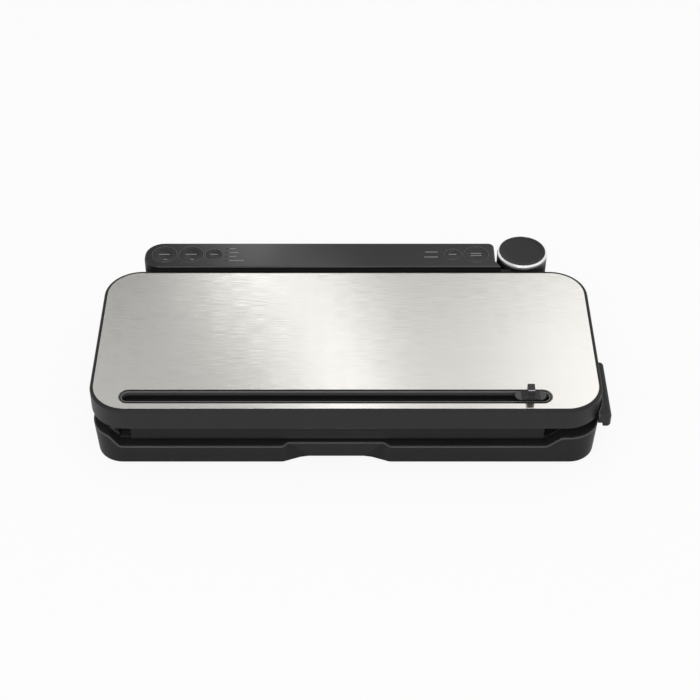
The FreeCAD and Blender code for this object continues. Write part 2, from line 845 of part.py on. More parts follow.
def drip_tray():
    """Loose tray that lines the vacuum channel, with a hole over the port and a lift lip."""
    body = new_body("drip_tray")
    tray_x = ("-(channel_half - drip_fit)", "channel_half - drip_fit")
    tray_y = ("channel_front + drip_fit", "channel_rear - drip_fit")
    base = "channel_floor + port_radius"
    pad(body, rectangle(body, base, tray_x, tray_y, "drip_lip + drip_wall"), f"lip_top - ({base})")
    inner_x = ("-(channel_half - drip_fit - drip_wall)", "channel_half - drip_fit - drip_wall")
    inner_y = ("channel_front + drip_fit + drip_wall", "channel_rear - drip_fit - drip_wall")
    hollow = rectangle(body, "lip_top", inner_x, inner_y, "drip_lip")
    pocket(body, hollow, f"lip_top - ({base}) - drip_wall")
    hole = disc(body, "lip_top", "port_x", "(channel_front + channel_rear) / 2", "port_flange")
    pocket(body, hole, "lip_top")
    keep(body, "drip_tray")


def vacuum_port():
    """Elbow under the channel: flange, stem through the floor and a spigot towards the pump."""
    middle = "(channel_front + channel_rear) / 2"
    spot = ("port_x", middle, "channel_floor")
    flange = rod("port_flange_disc", "Z", spot, "port_flange - drip_fit", "port_radius / 2")
    stem = rod("port_stem", "Z", ("port_x", middle, "port_z"), "port_radius", "channel_floor - port_z")
    spigot = rod("port_spigot", "Y", ("port_x", middle, "port_z"), "tube_inner", "2 * spigot_length")
    keep(fuse("vacuum_port_body", flange, stem, spigot), "vacuum_port")


# Lid

def lid_frame():
    """Black lid shell: recessed top for the steel plate, slot for the cutter track, hinge knuckles."""
    body = new_body("lid_frame")
    across = ("-lid_half", "lid_half")
    pad(body, rectangle(body, "lid_bottom", across, ("0", "lid_depth"), "lid_corner"), "lid_height")
    top = number("lid_top")
    bottom = number("lid_bottom")
    fillet(body, "lid_edge", lambda edge: near(edge.BoundBox.ZMin, top) or near(edge.BoundBox.ZMax, bottom))
    inner_x = ("-(lid_half - lid_wall)", "lid_half - lid_wall")
    inner_y = ("lid_wall", "lid_depth - lid_wall")
    room = rectangle(body, "lid_bottom", inner_x, inner_y, "lid_corner - lid_wall")
    pocket(body, room, "lid_height - lid_wall", forward=True)
    for x in ("-hinge_x", "hinge_x"):
        for side in ("-", "+"):
            near_face = f"{x} {side} (arm_width / 2 + hinge_gap)"
            far_face = f"{x} {side} (arm_width / 2 + hinge_gap + knuckle_width)"
            faces = (far_face, near_face) if side == "-" else (near_face, far_face)
            web_y = ("hinge_y - knuckle_radius", "hinge_y + knuckle_radius - lid_edge")
            pad(body, rectangle(body, "hinge_z", faces, web_y), "lid_ceiling - hinge_z + plate_gauge")
            knuckle = disc(body, faces[0], "hinge_y", "hinge_z", "knuckle_radius", "YZ_Plane")
            pad(body, knuckle, "knuckle_width")
        reach = "(arm_width / 2 + hinge_gap + knuckle_width + hinge_gap)"
        bore_radius = "hinge_pin_radius + running_fit"
        bore = disc(body, f"{x} - {reach}", "hinge_y", "hinge_z", bore_radius, "YZ_Plane")
        pocket(body, bore, f"2 * {reach}", forward=True)
        notch_x = (f"{x} - arm_width / 2 - hinge_gap", f"{x} + arm_width / 2 + hinge_gap")
        notch_y = ("hinge_y", "lid_depth + lid_wall")
        notch = rectangle(body, "lid_bottom - lid_wall", notch_x, notch_y)
        pocket(body, notch, "hinge_z + arm_radius / 2 - lid_bottom + lid_wall", forward=True)
    rim = "(plate_rim - plate_fit)"
    seat_x = (f"-(lid_half - {rim})", f"lid_half - {rim}")
    seat = rectangle(body, "lid_top", seat_x, (rim, f"lid_depth - {rim}"), f"lid_corner - {rim}")
    pocket(body, seat, "plate_gauge")
    pocket(body, track_slot(body, "lid_top", "plate_fit"), "lid_height")
    keep(body, "lid_frame")


def track_slot(body, level, margin):
    """The cutter track's outline with a margin all round."""
    half = f"(track_width / 2 + {margin})"
    slot_x = (f"-track_left - {margin}", f"track_right + {margin}")
    return lozenge(body, level, slot_x, (f"track_y - {half}", f"track_y + {half}"))


def lid_plate():
    """Brushed steel sheet let into the lid's top."""
    body = new_body("lid_plate")
    plate_x = ("-(lid_half - plate_rim)", "lid_half - plate_rim")
    plate_y = ("plate_rim", "lid_depth - plate_rim")
    outline = rectangle(body, "plate_seat", plate_x, plate_y, "lid_corner - plate_rim")
    pad(body, outline, "plate_gauge")
    pocket(body, track_slot(body, "lid_top", "plate_fit"), "2 * plate_gauge")
    keep(body, "lid_plate")


def cutter_track():
    """Channel across the lid that guides the cutter, with a slit for the blade."""
    body = new_body("cutter_track")
    pad(body, track_slot(body, "liner_top", "0"), "track_top - liner_top")
    channel_x = ("-track_left + (track_width - rail_gap) / 2", "track_right - (track_width - rail_gap) / 2")
    channel = lozenge(body, "track_top", channel_x, ("track_y - rail_gap / 2", "track_y + rail_gap / 2"))
    pocket(body, channel, "rail_depth")
    pocket(body, blade_slit(body, "track_top"), "lid_height")
    keep(body, "cutter_track")


def blade_slit(body, level):
    """Straight slit that the blade runs in."""
    slit_x = ("-track_left + slit_end", "track_right - slit_end")
    return rectangle(body, level, slit_x, ("track_y - slit_width / 2", "track_y + slit_width / 2"))


def cutter():
    """Sliding cutter: shoe in the track, wedge and finger fin, and the blade below it."""
    body = new_body("cutter_slide")
    shoe_x = ("cutter_park - cutter_length / 2", "cutter_park + cutter_length / 2")
    shoe_y = ("track_y - rail_gap / 2 + slide_gap", "track_y + rail_gap / 2 - slide_gap")
    shoe = lozenge(body, "rail_floor + slide_gap", shoe_x, shoe_y)
    pad(body, shoe, "lid_top + cutter_rise - rail_floor - slide_gap")
    wedge_x = ("cutter_park - wedge_length / 2", "cutter_park + wedge_length / 2")
    fin_x = ("cutter_park - fin_length / 2", "cutter_park + fin_length / 2")
    fin_y = ("track_y - fin_width / 2", "track_y + fin_width / 2")
    wide = rectangle(body, "lid_top + cutter_rise", wedge_x, shoe_y)
    narrow = rectangle(body, "lid_top + cutter_rise + wedge_rise", fin_x, fin_y)
    wedge = body.newObject("PartDesign::AdditiveLoft", "cutter_wedge")
    wedge.Profile = wide
    wedge.Sections = [narrow]
    wedge.Ruled = True
    doc.recompute()
    fin = rectangle(body, "lid_top + cutter_rise + wedge_rise", fin_x, fin_y)
    pad(body, fin, "fin_rise")
    blade_y = ("track_y - blade_gauge / 2", "track_y + blade_gauge / 2")
    blade_x = ("cutter_park - blade_length / 2", "cutter_park + blade_length / 2")
    keeper = rectangle(body, "rail_floor + slide_gap", blade_x, blade_y)
    pocket(body, keeper, "rail_depth / 2", forward=True)
    keep(body, "cutter_slide")
    blade = new_body("cutter_blade")
    back = ("cutter_park - blade_length / 2", "rail_floor + slide_gap + rail_depth / 2")
    outline = polygon(blade, "XZ_Plane", "-(track_y + blade_gauge / 2)", [
        back,
        ("cutter_park + blade_length / 2", back[1]),
        ("cutter_park + blade_length / 2", "block_bottom"),
        ("cutter_park", "blade_tip"),
        ("cutter_park - blade_length / 2", "block_bottom"),
    ])
    pad(blade, outline, "blade_gauge")
    keep(blade, "cutter_blade")


def lid_liner():
    """Inner cover of the lid with the sealing block that reaches down to the deck."""
    body = new_body("lid_liner")
    edge = "(lid_wall + liner_fit)"
    cover_x = (f"-(lid_half - {edge})", f"lid_half - {edge}")
    cover = rectangle(body, "lid_bottom", cover_x, (edge, f"lid_depth - {edge}"), f"lid_corner - {edge}")
    pad(body, cover, "liner_gauge")
    outer = rectangle(body, "block_bottom", ("-block_left", "block_right"), ("block_front", "block_rear"))
    pad(body, outer, "lid_bottom - block_bottom + liner_gauge / 2")
    tongue_x = ("-(block_left + block_tongue)", "-(block_left - block_wall)")
    tongue = rectangle(body, "block_bottom", tongue_x, ("block_front", "skirt_front"))
    pad(body, tongue, "lid_bottom - block_bottom + liner_gauge / 2")
    for sign in ("-", ""):
        outside = f"{sign}skirt_half"
        inside = f"{sign}(skirt_half - liner_gauge)"
        skirt_x = (outside, inside) if sign else (inside, outside)
        skirt = rectangle(body, "lid_bottom - skirt_drop", skirt_x, ("skirt_front", "block_rear"))
        pad(body, skirt, "skirt_drop + liner_gauge / 2")
    room_x = ("-(block_left - block_wall)", "block_right - block_wall")
    room_y = ("heat_y + seal_width / 2 + block_wall", "block_rear - block_wall")
    room = rectangle(body, "liner_top", room_x, room_y)
    pocket(body, room, "liner_top - block_bottom - 2 * block_wall")
    pocket(body, blade_slit(body, "liner_top"), "lid_height + lid_top")
    seal_x = ("-(heat_half - gasket_gap)", "heat_half - gasket_gap")
    seal_y = ("heat_y - seal_width / 2", "heat_y + seal_width / 2")
    seal_depth = "tape_top + clamp_gap + seal_height - block_bottom"
    pocket(body, rectangle(body, "block_bottom", seal_x, seal_y), seal_depth, forward=True)
    pocket(body, ring_outline(body, "block_bottom"), "gasket_groove", forward=True)
    for x in ("-hinge_x", "hinge_x"):
        reach = "(arm_width / 2 + 2 * hinge_gap + knuckle_width)"
        gap_y = ("hinge_y - 2 * knuckle_radius", "lid_depth")
        gap = rectangle(body, "liner_top", (f"{x} - {reach}", f"{x} + {reach}"), gap_y)
        pocket(body, gap, "2 * liner_gauge")
    keep(body, "lid_liner")


def lid_seals():
    """Gasket and soft seal bar under the lid."""
    bottom = "lip_top + gasket_rise + clamp_gap"
    gasket("upper_gasket", bottom, f"block_bottom + gasket_groove - ({bottom})")
    seal_x = ("-(heat_half - gasket_gap)", "heat_half - gasket_gap")
    seal_y = ("heat_y - seal_width / 2", "heat_y + seal_width / 2")
    seal_z = ("tape_top + clamp_gap", "tape_top + clamp_gap + seal_height")
    keep(block("seal_bar_strip", seal_x, seal_y, seal_z), "seal_bar")


def lid_catches():
    """Two loops under the lid that the latch hooks pull on."""
    loops = []
    for name, x in (("left", "-hook_x"), ("right", "hook_x")):
        bar_y = ("nose_tip - catch_gap - catch_bar", "nose_tip - catch_gap")
        bar_top = "nose_under - catch_drop"
        half = "(hook_width / 2 + hinge_gap)"
        bar_x = (f"{x} - {half}", f"{x} + {half}")
        loop = block(f"catch_{name}_bar", bar_x, bar_y, (f"{bar_top} - catch_bar", bar_top))
        left_x = (f"{x} - {half} - catch_leg", f"{x} - {half}")
        right_x = (f"{x} + {half}", f"{x} + {half} + catch_leg")
        leg_z = (f"{bar_top} - catch_bar", "lid_bottom")
        left = block(f"catch_{name}_leg_a", left_x, bar_y, leg_z)
        right = block(f"catch_{name}_leg_b", right_x, bar_y, leg_z)
        loops.append(fuse(f"catch_{name}", loop, left, right))
    keep(group("lid_catch_pair", *loops), "lid_catches")


def hinge_pins():
    pins = []
    for name, x in (("left", "-hinge_x"), ("right", "hinge_x")):
        reach = "(arm_width / 2 + hinge_gap + knuckle_width)"
        start = (f"{x} - {reach}", "hinge_y", "hinge_z")
        pins.append(rod(f"pin_{name}", "X", start, "hinge_pin_radius", f"2 * {reach}"))
    keep(group("hinge_pin_pair", *pins), "hinge_pins")


# Latch

def latch():
    """Side lever, cross shaft, hooks and the bushes that carry the shaft."""
    left_end = "-(hook_x + hook_width / 2 + housing_fit + bush_radius)"
    right_end = "lever_inside + shaft_seat"
    start = (left_end, "shaft_y", "shaft_z")
    keep(rod("latch_shaft_rod", "X", start, "shaft_radius", f"{right_end} - ({left_end})"), "latch_shaft")
    latch_hooks()
    latch_lever()
    bore = "shaft_radius + running_fit"
    sleeve_start = ("tray_half", "shaft_y", "shaft_z")
    sleeve = rod("bush_sleeve", "X", sleeve_start, "bush_radius", "base_wall + bush_inset")
    sleeve_bore = rod("bush_sleeve_bore", "X", sleeve_start, bore, "base_wall + bush_inset")
    pillow_x = ("-deck_half", "-(hook_x + hook_width / 2 + hinge_gap + bush_inset)")
    pillow_y = ("shaft_y - bush_radius", "shaft_y + bush_radius")
    pillow = block("bush_pillow", pillow_x, pillow_y, ("tray_floor", "deck_under"))
    pillow_bore = rod("bush_pillow_bore", "X", ("-base_half", "shaft_y", "shaft_z"), bore, "base_half")
    bushes = [cut("bush_right", sleeve, sleeve_bore), cut("bush_left", pillow, pillow_bore)]
    keep(group("shaft_bush_pair", *bushes), "shaft_bushes")


def latch_hooks():
    hooks = []
    for name, x in (("left", "-hook_x"), ("right", "hook_x")):
        face = f"{x} - hook_width / 2"
        hook_x = (face, f"{x} + hook_width / 2")
        hub = rod(f"hook_{name}_hub", "X", (face, "shaft_y", "shaft_z"), "hook_hub", "hook_width")
        arm_y = ("shaft_y - hook_arm / 2", "shaft_y + hook_arm / 2")
        arm = block(f"hook_{name}_arm", hook_x, arm_y, ("shaft_z", "hook_top"))
        nose = block(f"hook_{name}_nose", hook_x, ("nose_tip", "shaft_y"), ("nose_under", "hook_top"))
        solid = fuse(f"hook_{name}_solid", hub, arm, nose)
        bore = rod(f"hook_{name}_bore", "X", (face, "shaft_y", "shaft_z"), "shaft_radius", "hook_width")
        hooks.append(cut(f"hook_{name}", solid, bore))
    keep(group("latch_hook_pair", *hooks), "latch_hooks")


def latch_lever():
    """Finger bar with a skirt beside the lid, hollowed round the lid's corner over a ledge."""
    body = new_body("latch_lever")
    outline = polygon(body, "XZ_Plane", "-lever_rear", [
        ("lid_half - lever_tuck", "lever_bottom"),
        ("lever_inside", "lever_bottom"),
        ("lever_inside", "lever_foot"),
        ("lever_outside", "lever_foot"),
        ("lever_outside", "lever_top"),
        ("lid_half - lever_tuck", "lever_top"),
    ])
    pad(body, outline, "lever_rear - lever_front")
    side_x = ("lid_half - 2 * lever_tuck", "lever_inside")
    side = rectangle(body, "lever_top", side_x, ("lid_corner", "lever_rear + lever_tuck"))
    hollow = "lever_top - lever_bottom - lever_ledge"
    pocket(body, side, hollow)
    corner_x = "lid_half - lid_corner"
    corner = disc(body, "lever_top", corner_x, "lid_corner", "lid_corner + lever_gap")
    pocket(body, corner, hollow)
    outer = number("lever_outside")
    fillet(body, "lever_corner", lambda edge: along(edge, "z") and near(edge.BoundBox.XMin, outer))
    fillet(body, "lever_round", lambda edge: along(edge, "y") and near(edge.BoundBox.XMin, outer))
    arm = polygon(body, "YZ_Plane", "lever_inside", [
        ("lever_rear - lever_root", "lever_bottom + lever_round"),
        ("shaft_y - lever_hub", "shaft_z"),
        ("shaft_y + lever_hub", "shaft_z"),
        ("lever_rear", "lever_top - 2 * lever_round"),
    ])
    pad(body, arm, "lever_arm")
    pad(body, disc(body, "lever_inside", "shaft_y", "shaft_z", "lever_hub", "YZ_Plane"), "lever_arm")
    seat = disc(body, "lever_inside", "shaft_y", "shaft_z", "shaft_radius", "YZ_Plane")
    pocket(body, seat, "shaft_seat", forward=True)
    keep(body, "latch_lever")


# Console and controls

BUTTONS = [
    ("vacuum_button", "vacuum_x", "button_large"),
    ("seal_button", "seal_x", "button_large"),
    ("mode_button", "mode_x", "button_small"),
    ("select_button", "select_x", "button_small"),
    ("handheld_button", "handheld_x", "button_large"),
]

LIGHTS = [("left_lights_x", f"button_y + {step} * left_light_pitch") for step in (-1.5, -0.5, 0.5, 1.5)]
LIGHTS += [("right_lights_x", f"button_y + {step} * right_light_pitch") for step in (-0.5, 0.5)]


def console_block(body, bottom, top):
    """The console's plan, with large rounds at its left end and a flare towards the dock."""
    across = ("-console_left", "console_right")
    outline = rectangle(body, bottom, across, ("console_front", "console_rear"))
    pad(body, outline, f"{top} - {bottom}")
    corners = [
        ("-console_left", "console_rear", "console_left_round"),
        ("-console_left", "console_front", "console_front_round"),
        ("console_right", "console_rear", "console_right_round"),
    ]
    for x, y, radius in corners:
        spot = (number(x), number(y))

        def corner(edge):
            middle = edge.CenterOfMass
            return along(edge, "z") and near(middle.x, spot[0]) and near(middle.y, spot[1])

        fillet(body, radius, corner)
    flare = polygon(body, "XY_Plane", bottom, [
        ("console_right - console_wall", "console_front"),
        ("console_right + flare_reach", "console_front"),
        ("console_right - console_wall", "console_front + flare_depth"),
    ])
    pad(body, flare, f"{top} - {bottom}")


def console_housing():
    body = new_body("console_housing")
    console_block(body, "base_top", "panel_under")
    apron_y = ("console_front", "console_front + console_wall")
    apron = rectangle(body, "base_top", ("console_right - console_wall", "apron_right"), apron_y)
    pad(body, apron, "apron_top - base_top")
    inner_x = ("-(console_left - console_wall)", "console_right - console_wall")
    inner_y = ("console_front + console_wall", "console_rear - console_wall")
    room = rectangle(body, "panel_under", inner_x, inner_y, "console_left_round - console_wall")
    pocket(body, room, "panel_under")
    keep(body, "console_housing")


def control_panel():
    """Gloss cover of the console with button holes, light holes and bosses for the board."""
    body = new_body("control_panel")
    console_block(body, "panel_under", "console_top")
    top = number("console_top")
    fillet(body, "panel_edge", lambda edge: near(edge.BoundBox.ZMin, top))
    for x in ("boss_left", "boss_middle", "boss_right"):
        pad(body, disc(body, "board_top", x, "button_y", "boss_radius"), "board_drop + panel_gauge / 2")
    for _, x, radius in BUTTONS:
        pocket(body, disc(body, "console_top", x, "button_y", f"{radius} + button_gap"), "2 * panel_gauge")
    for x, y in LIGHTS:
        pocket(body, disc(body, "console_top", x, y, "light_radius"), "2 * panel_gauge")
    keep(body, "control_panel")


def buttons():
    for label, x, radius in BUTTONS:
        top = "console_top + button_proud"
        turned(label, [
            ("0", "flange_top - flange_gauge"),
            (f"{radius} + button_flange", "flange_top - flange_gauge"),
            (f"{radius} + button_flange", "flange_top"),
            (radius, "flange_top"),
            (radius, f"{top} - button_gap"),
            (f"{radius} - button_gap", top),
            ("0", top),
        ], x, "button_y")


def panel_electrics():
    pipes = []
    for index, (x, y) in enumerate(LIGHTS):
        spot = (x, y, "board_top")
        pipes.append(rod(f"light_pipe_{index}", "Z", spot, "light_radius", "console_top - board_top"))
    keep(group("light_pipe_set", *pipes), "light_pipes")
    inset = "(console_wall + board_margin)"
    board_x = (f"-(console_left - {inset})", f"console_right - {inset}")
    board_y = (f"console_front + {inset}", f"console_rear - {inset}")
    board_z = ("board_top - board_gauge", "board_top")
    keep(block("control_board_sheet", board_x, board_y, board_z), "control_board")
    keys = []
    for label, x, _ in BUTTONS:
        key_x = (f"{x} - key_size / 2", f"{x} + key_size / 2")
        key_y = ("button_y - key_size / 2", "button_y + key_size / 2")
        keys.append(block(label + "_key", key_x, key_y, ("board_top", "key_top")))
    keep(group("key_switch_set", *keys), "key_switches")


# Hand-held head

def handheld():
    """Dock tower, and the head with its ring, cap, nozzle and curled hose."""
    place = ("dock_x", "dock_y")
    bore = "dock_radius - dock_wall"
    turned("dock_tower", [
        ("0", "tray_floor"),
        ("dock_radius", "tray_floor"),
        ("dock_radius", "dock_top"),
        (bore, "dock_top"),
        (bore, "well_floor"),
        ("0", "well_floor"),
    ], *place)
    turned("head_body", [
        ("0", "head_bottom"),
        ("head_radius", "head_bottom"),
        ("head_radius", "head_seat"),
        ("0", "head_seat"),
    ], *place)
    lip = "dock_radius - ring_width"
    turned("head_ring", [
        ("head_radius", "ring_bottom"),
        ("dock_radius", "ring_bottom"),
        ("dock_radius", "head_top - ring_bevel"),
        ("dock_radius - ring_bevel", "head_top"),
        (lip, "head_top"),
        (lip, "head_seat"),
        ("head_radius", "head_seat"),
    ], *place)
    turned("head_cap", [
        ("0", "head_seat"),
        (f"{lip} - cap_gap", "head_seat"),
        (f"{lip} - cap_gap", "head_top - cap_drop - head_chamfer"),
        (f"{lip} - cap_gap - head_chamfer", "head_top - cap_drop"),
        ("0", "head_top - cap_drop"),
    ], *place)
    turned("head_nozzle", [
        ("nozzle_bore", "head_bottom - nozzle_drop"),
        ("nozzle_radius", "head_bottom - nozzle_drop"),
        ("nozzle_radius", "head_bottom"),
        ("nozzle_bore", "head_bottom"),
    ], *place)
    turned("head_hose", [
        ("hose_inner", "well_floor"),
        ("hose_outer", "well_floor"),
        ("hose_outer", "head_bottom"),
        ("hose_inner", "head_bottom"),
    ], *place)


# Pump and electrics

def pump():
    """Motor, spinning eccentric, pump head, bracket on rubber mounts."""
    axis = ("motor_left", "motor_y", "motor_z")
    case = rod("motor_case", "X", axis, "motor_radius", "motor_length")
    bore = rod("motor_bore", "X", axis, "motor_shaft_radius + running_fit", "motor_length / 2")
    keep(cut("motor_bored", case, bore), "pump_motor")
    shaft_start = ("shaft_left", "motor_y", "motor_z")
    length = "motor_left + motor_length / 2 - crank_gap - shaft_left"
    shaft = rod("motor_shaft_rod", "X", shaft_start, "motor_shaft_radius", length)
    disc_start = ("shaft_left + crank_gap", "motor_y", "motor_z + eccentric_throw")
    eccentric = rod("eccentric_disc", "X", disc_start, "eccentric_radius", "eccentric_width")
    keep(fuse("motor_rotor", shaft, eccentric), "motor_shaft")
    pump_x = ("pump_left", "pump_right")
    pump_y = ("pump_front", "pump_rear")
    head = block("pump_case", pump_x, pump_y, ("bracket_top", "bracket_top + pump_height"))
    swing = "(eccentric_radius + eccentric_throw + crank_gap)"
    room_y = (f"motor_y - {swing}", f"motor_y + {swing}")
    room_z = (f"motor_z - {swing}", f"motor_z + {swing}")
    room = block("crank_room", ("shaft_left - crank_gap", "crank_right"), room_y, room_z)
    entry_radius = "motor_shaft_radius + crank_gap"
    entry = rod("crank_entry", "X", shaft_start, entry_radius, "pump_right - shaft_left")
    keep(cut("pump_bored", head, room, entry), "pump_head")
    bracket_x = ("pump_left", "motor_left + motor_length")
    plate = block("bracket_plate", bracket_x, pump_y, ("bracket_under", "bracket_top"))
    saddles = []
    last = "motor_left + motor_length - saddle_inset - saddle_gauge"
    for name, x in (("near", "motor_left + saddle_inset"), ("far", last)):
        saddle_y = ("motor_y - motor_radius", "motor_y + motor_radius")
        saddle_z = ("bracket_top", "motor_z - motor_radius / 2")
        saddles.append(block(f"saddle_{name}", (x, f"{x} + saddle_gauge"), saddle_y, saddle_z))
    hollow = rod("saddle_hollow", "X", axis, "motor_radius + running_fit", "motor_length")
    keep(cut("bracket_cut", fuse("bracket_solid", plate, *saddles), hollow), "pump_bracket")
    mounts = []
    for x in ("pump_left + mount_radius", "motor_left + motor_length - mount_radius"):
        for y in ("pump_front + mount_radius", "pump_rear - mount_radius"):
            mounts.append(rod("rubber_mount", "Z", (x, y, "tray_floor"), "mount_radius", "mount_height"))
    keep(group("rubber_mount_set", *mounts), "pump_mounts")


def valve_and_switches():
    valve_y = ("pump_front", "pump_front + valve_depth")
    valve_z = ("tray_floor", "tray_floor + valve_height")
    keep(block("valve_block", ("valve_left", "valve_right"), valve_y, valve_z), "solenoid_valve")
    spot = ("switch_x", "motor_y", "tray_floor")
    keep(rod("vacuum_switch_can", "Z", spot, "switch_radius", "switch_height"), "vacuum_switch")
    switch_x = ("lid_switch_x", "lid_switch_x + lid_switch_length")
    switch_y = ("cover_front + cover_wall", "cover_front + cover_wall + lid_switch_depth")
    switch_z = ("tray_floor", "tray_floor + lid_switch_height")
    keep(block("lid_switch_case", switch_x, switch_y, switch_z), "lid_switch")


def tube(label, points):
    """A tube along straight runs joined by tangent arcs."""
    origin = Vector(number("frame_x"), number("frame_y"), 0)
    spots = [origin + Vector(*[number(part) for part in point]) for point in points]
    bend = number("tube_bend")
    edges = []
    start = spots[0]
    for before, corner, after in zip(spots, spots[1:], spots[2:]):
        towards = (corner - before).normalize()
        away = (after - corner).normalize()
        half = towards.getAngle(away) / 2
        inward = (away - towards).normalize()
        reach = bend * math.tan(half)
        middle = corner + inward * (bend / math.cos(half) - bend)
        first = corner - towards * reach
        last = corner + away * reach
        edges.append(Part.LineSegment(start, first).toShape())
        edges.append(Part.Arc(first, middle, last).toShape())
        start = last
    edges.append(Part.LineSegment(start, spots[-1]).toShape())
    path = Part.Wire(edges)
    ahead = (spots[1] - spots[0]).normalize()
    skins = []
    for radius in ("tube_outer", "tube_inner"):
        circle = Part.Wire(Part.Circle(spots[0], ahead, number(radius)).toShape())
        skins.append(path.makePipeShell([circle], True, False))
    item = doc.addObject("Part::Feature", label + "_run")
    item.Shape = skins[0].cut(skins[1])
    keep(item, label)


def tubes():
    middle = "(channel_front + channel_rear) / 2"
    rise = "motor_z - tube_bend"
    tube("port_tube", [
        ("port_x", f"{middle} + spigot_length", "port_z"),
        ("port_x", "shaft_y + spigot_length", "port_z"),
        ("port_x", "pump_front - 2 * spigot_length", rise),
        ("port_x", "pump_front", rise),
    ])
    valve_y = "pump_front + valve_depth / 2"
    tube("valve_tube", [
        ("pump_left", valve_y, "motor_z"),
        ("valve_right", valve_y, "motor_z"),
    ])
    tube("dock_tube", [
        ("valve_x", "pump_front + valve_depth", "motor_z"),
        ("valve_x", "dock_y", "motor_z"),
        ("dock_x - dock_radius - dock_gap", "dock_y", "motor_z"),
    ])


def power():
    left = "-power_left"
    board_x = (left, f"{left} + power_length")
    board_y = ("power_y - power_depth / 2", "power_y + power_depth / 2")
    sheet_z = ("power_z", "power_z + board_gauge")
    board = block("power_sheet", board_x, board_y, sheet_z)
    posts = []
    for x in (f"{left} + post_radius", f"{left} + power_length - post_radius"):
        for y in ("power_y - power_depth / 2 + post_radius", "power_y + power_depth / 2 - post_radius"):
            spot = (x, y, "tray_floor")
            posts.append(rod("power_post", "Z", spot, "post_radius", "power_z - tray_floor"))
    keep(board, "power_board")
    keep(group("power_post_set", *posts), "board_posts")
    centre = f"{left} + power_length / 2"
    core_x = (f"{centre} - transformer_length / 2", f"{centre} + transformer_length / 2")
    core_y = ("power_y - transformer_depth / 2", "power_y + transformer_depth / 2")
    core_z = ("power_z + board_gauge", "power_z + board_gauge + transformer_height")
    keep(block("transformer_core", core_x, core_y, core_z), "transformer")


def cord_inlet():
    """Bush in the rear wall where the mains lead enters."""
    spot = ("-gland_x", "tray_rear", "gland_z")
    sleeve = rod("gland_sleeve", "Y", spot, "gland_radius", "base_depth - tray_rear")
    lip = rod("gland_lip_disc", "Y", ("-gland_x", "base_depth", "gland_z"), "gland_flange", "gland_lip")
    bore = rod("gland_bore_rod", "Y", spot, "gland_bore", "base_depth - tray_rear + gland_lip")
    keep(cut("gland_bored", fuse("gland_solid", sleeve, lip), bore), "cord_gland")


def feet_and_screws():
    feet = []
    for x in ("-foot_x", "foot_x"):
        for y in ("foot_front", "foot_rear"):
            feet.append(rod("rubber_foot", "Z", (x, y, "0"), "foot_radius", "base_floor + foot_recess"))
    keep(group("rubber_foot_set", *feet), "rubber_feet")
    screws = []
    for x, y in screw_spots():
        head = rod("screw_head_disc", "Z", (x, y, "base_floor"), "screw_head", "screw_head_height")
        shank_z = "base_floor + screw_head_height"
        shank_length = "base_wall + screw_length - screw_head_height"
        shank = rod("screw_shank", "Z", (x, y, shank_z), "screw_radius", shank_length)
        screws.append(fuse("screw", head, shank))
    keep(group("screw_set", *screws), "housing_screws")


def check_and_write():
    """Stops on any failed object or bad shape, then writes one file for each sub-part."""
    doc.recompute()
    for item in doc.Objects:
        if "Invalid" in item.State or "Error" in item.State:
            raise ValueError(f"{item.Label} failed")
    for item in nodes:
        if item.Shape.isNull() or not item.Shape.isValid() or not item.Shape.Solids:
            raise ValueError(f"{item.Label} has no sound shape")
    os.makedirs("parts", exist_ok=True)
    for item in nodes:
        item.Shape.exportStep(f"parts/{item.Label}.step")


base_tray()
base_deck()
sealing_deck()
lid_frame()
lid_plate()
cutter_track()
cutter()
lid_liner()
lid_seals()
lid_catches()
hinge_pins()
latch()
console_housing()
control_panel()
buttons()
panel_electrics()
handheld()
pump()
valve_and_switches()
tubes()
power()
cord_inlet()
feet_and_screws()
check_and_write()
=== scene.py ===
import math

import bpy
import numpy as np
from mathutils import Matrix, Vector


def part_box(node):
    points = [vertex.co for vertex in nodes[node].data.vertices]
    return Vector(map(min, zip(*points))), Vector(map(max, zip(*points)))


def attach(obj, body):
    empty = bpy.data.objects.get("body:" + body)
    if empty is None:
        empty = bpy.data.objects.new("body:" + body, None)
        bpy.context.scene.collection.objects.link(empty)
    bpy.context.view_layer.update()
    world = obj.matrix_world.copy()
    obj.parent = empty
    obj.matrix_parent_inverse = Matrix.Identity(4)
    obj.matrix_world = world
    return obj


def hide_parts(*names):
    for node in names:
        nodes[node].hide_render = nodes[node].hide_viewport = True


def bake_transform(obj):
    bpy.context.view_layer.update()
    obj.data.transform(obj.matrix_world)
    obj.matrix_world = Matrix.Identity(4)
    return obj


# A countertop vacuum sealer: steel-topped lid, black housing, console with buttons, docked head

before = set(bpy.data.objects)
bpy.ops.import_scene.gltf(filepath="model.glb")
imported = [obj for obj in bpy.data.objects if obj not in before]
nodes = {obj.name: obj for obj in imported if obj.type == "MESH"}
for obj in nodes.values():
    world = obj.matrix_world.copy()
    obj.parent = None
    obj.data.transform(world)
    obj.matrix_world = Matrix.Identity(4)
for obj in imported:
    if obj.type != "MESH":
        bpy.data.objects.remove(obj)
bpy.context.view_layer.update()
scene = bpy.context.scene


# Places and sizes in millimetres, read from the frame

MM = 0.001
GRID = 0.05
TURN = 2 * math.pi


def span(node):
    """A node's lowest and highest corners, on a grid that hides what its mesh facets cut off."""
    return np.round(np.array(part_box(node)) / MM / GRID) * GRID


def middle(node):
    """A node's middle seen from above: across and back."""
    return span(node).mean(axis=0)[:2]


def half_width(node):
    """Half of a node's width."""
    low, high = span(node)
    return (high[0] - low[0]) / 2


def top(node):
    """The height of a node's highest point."""
    return span(node)[1][2]


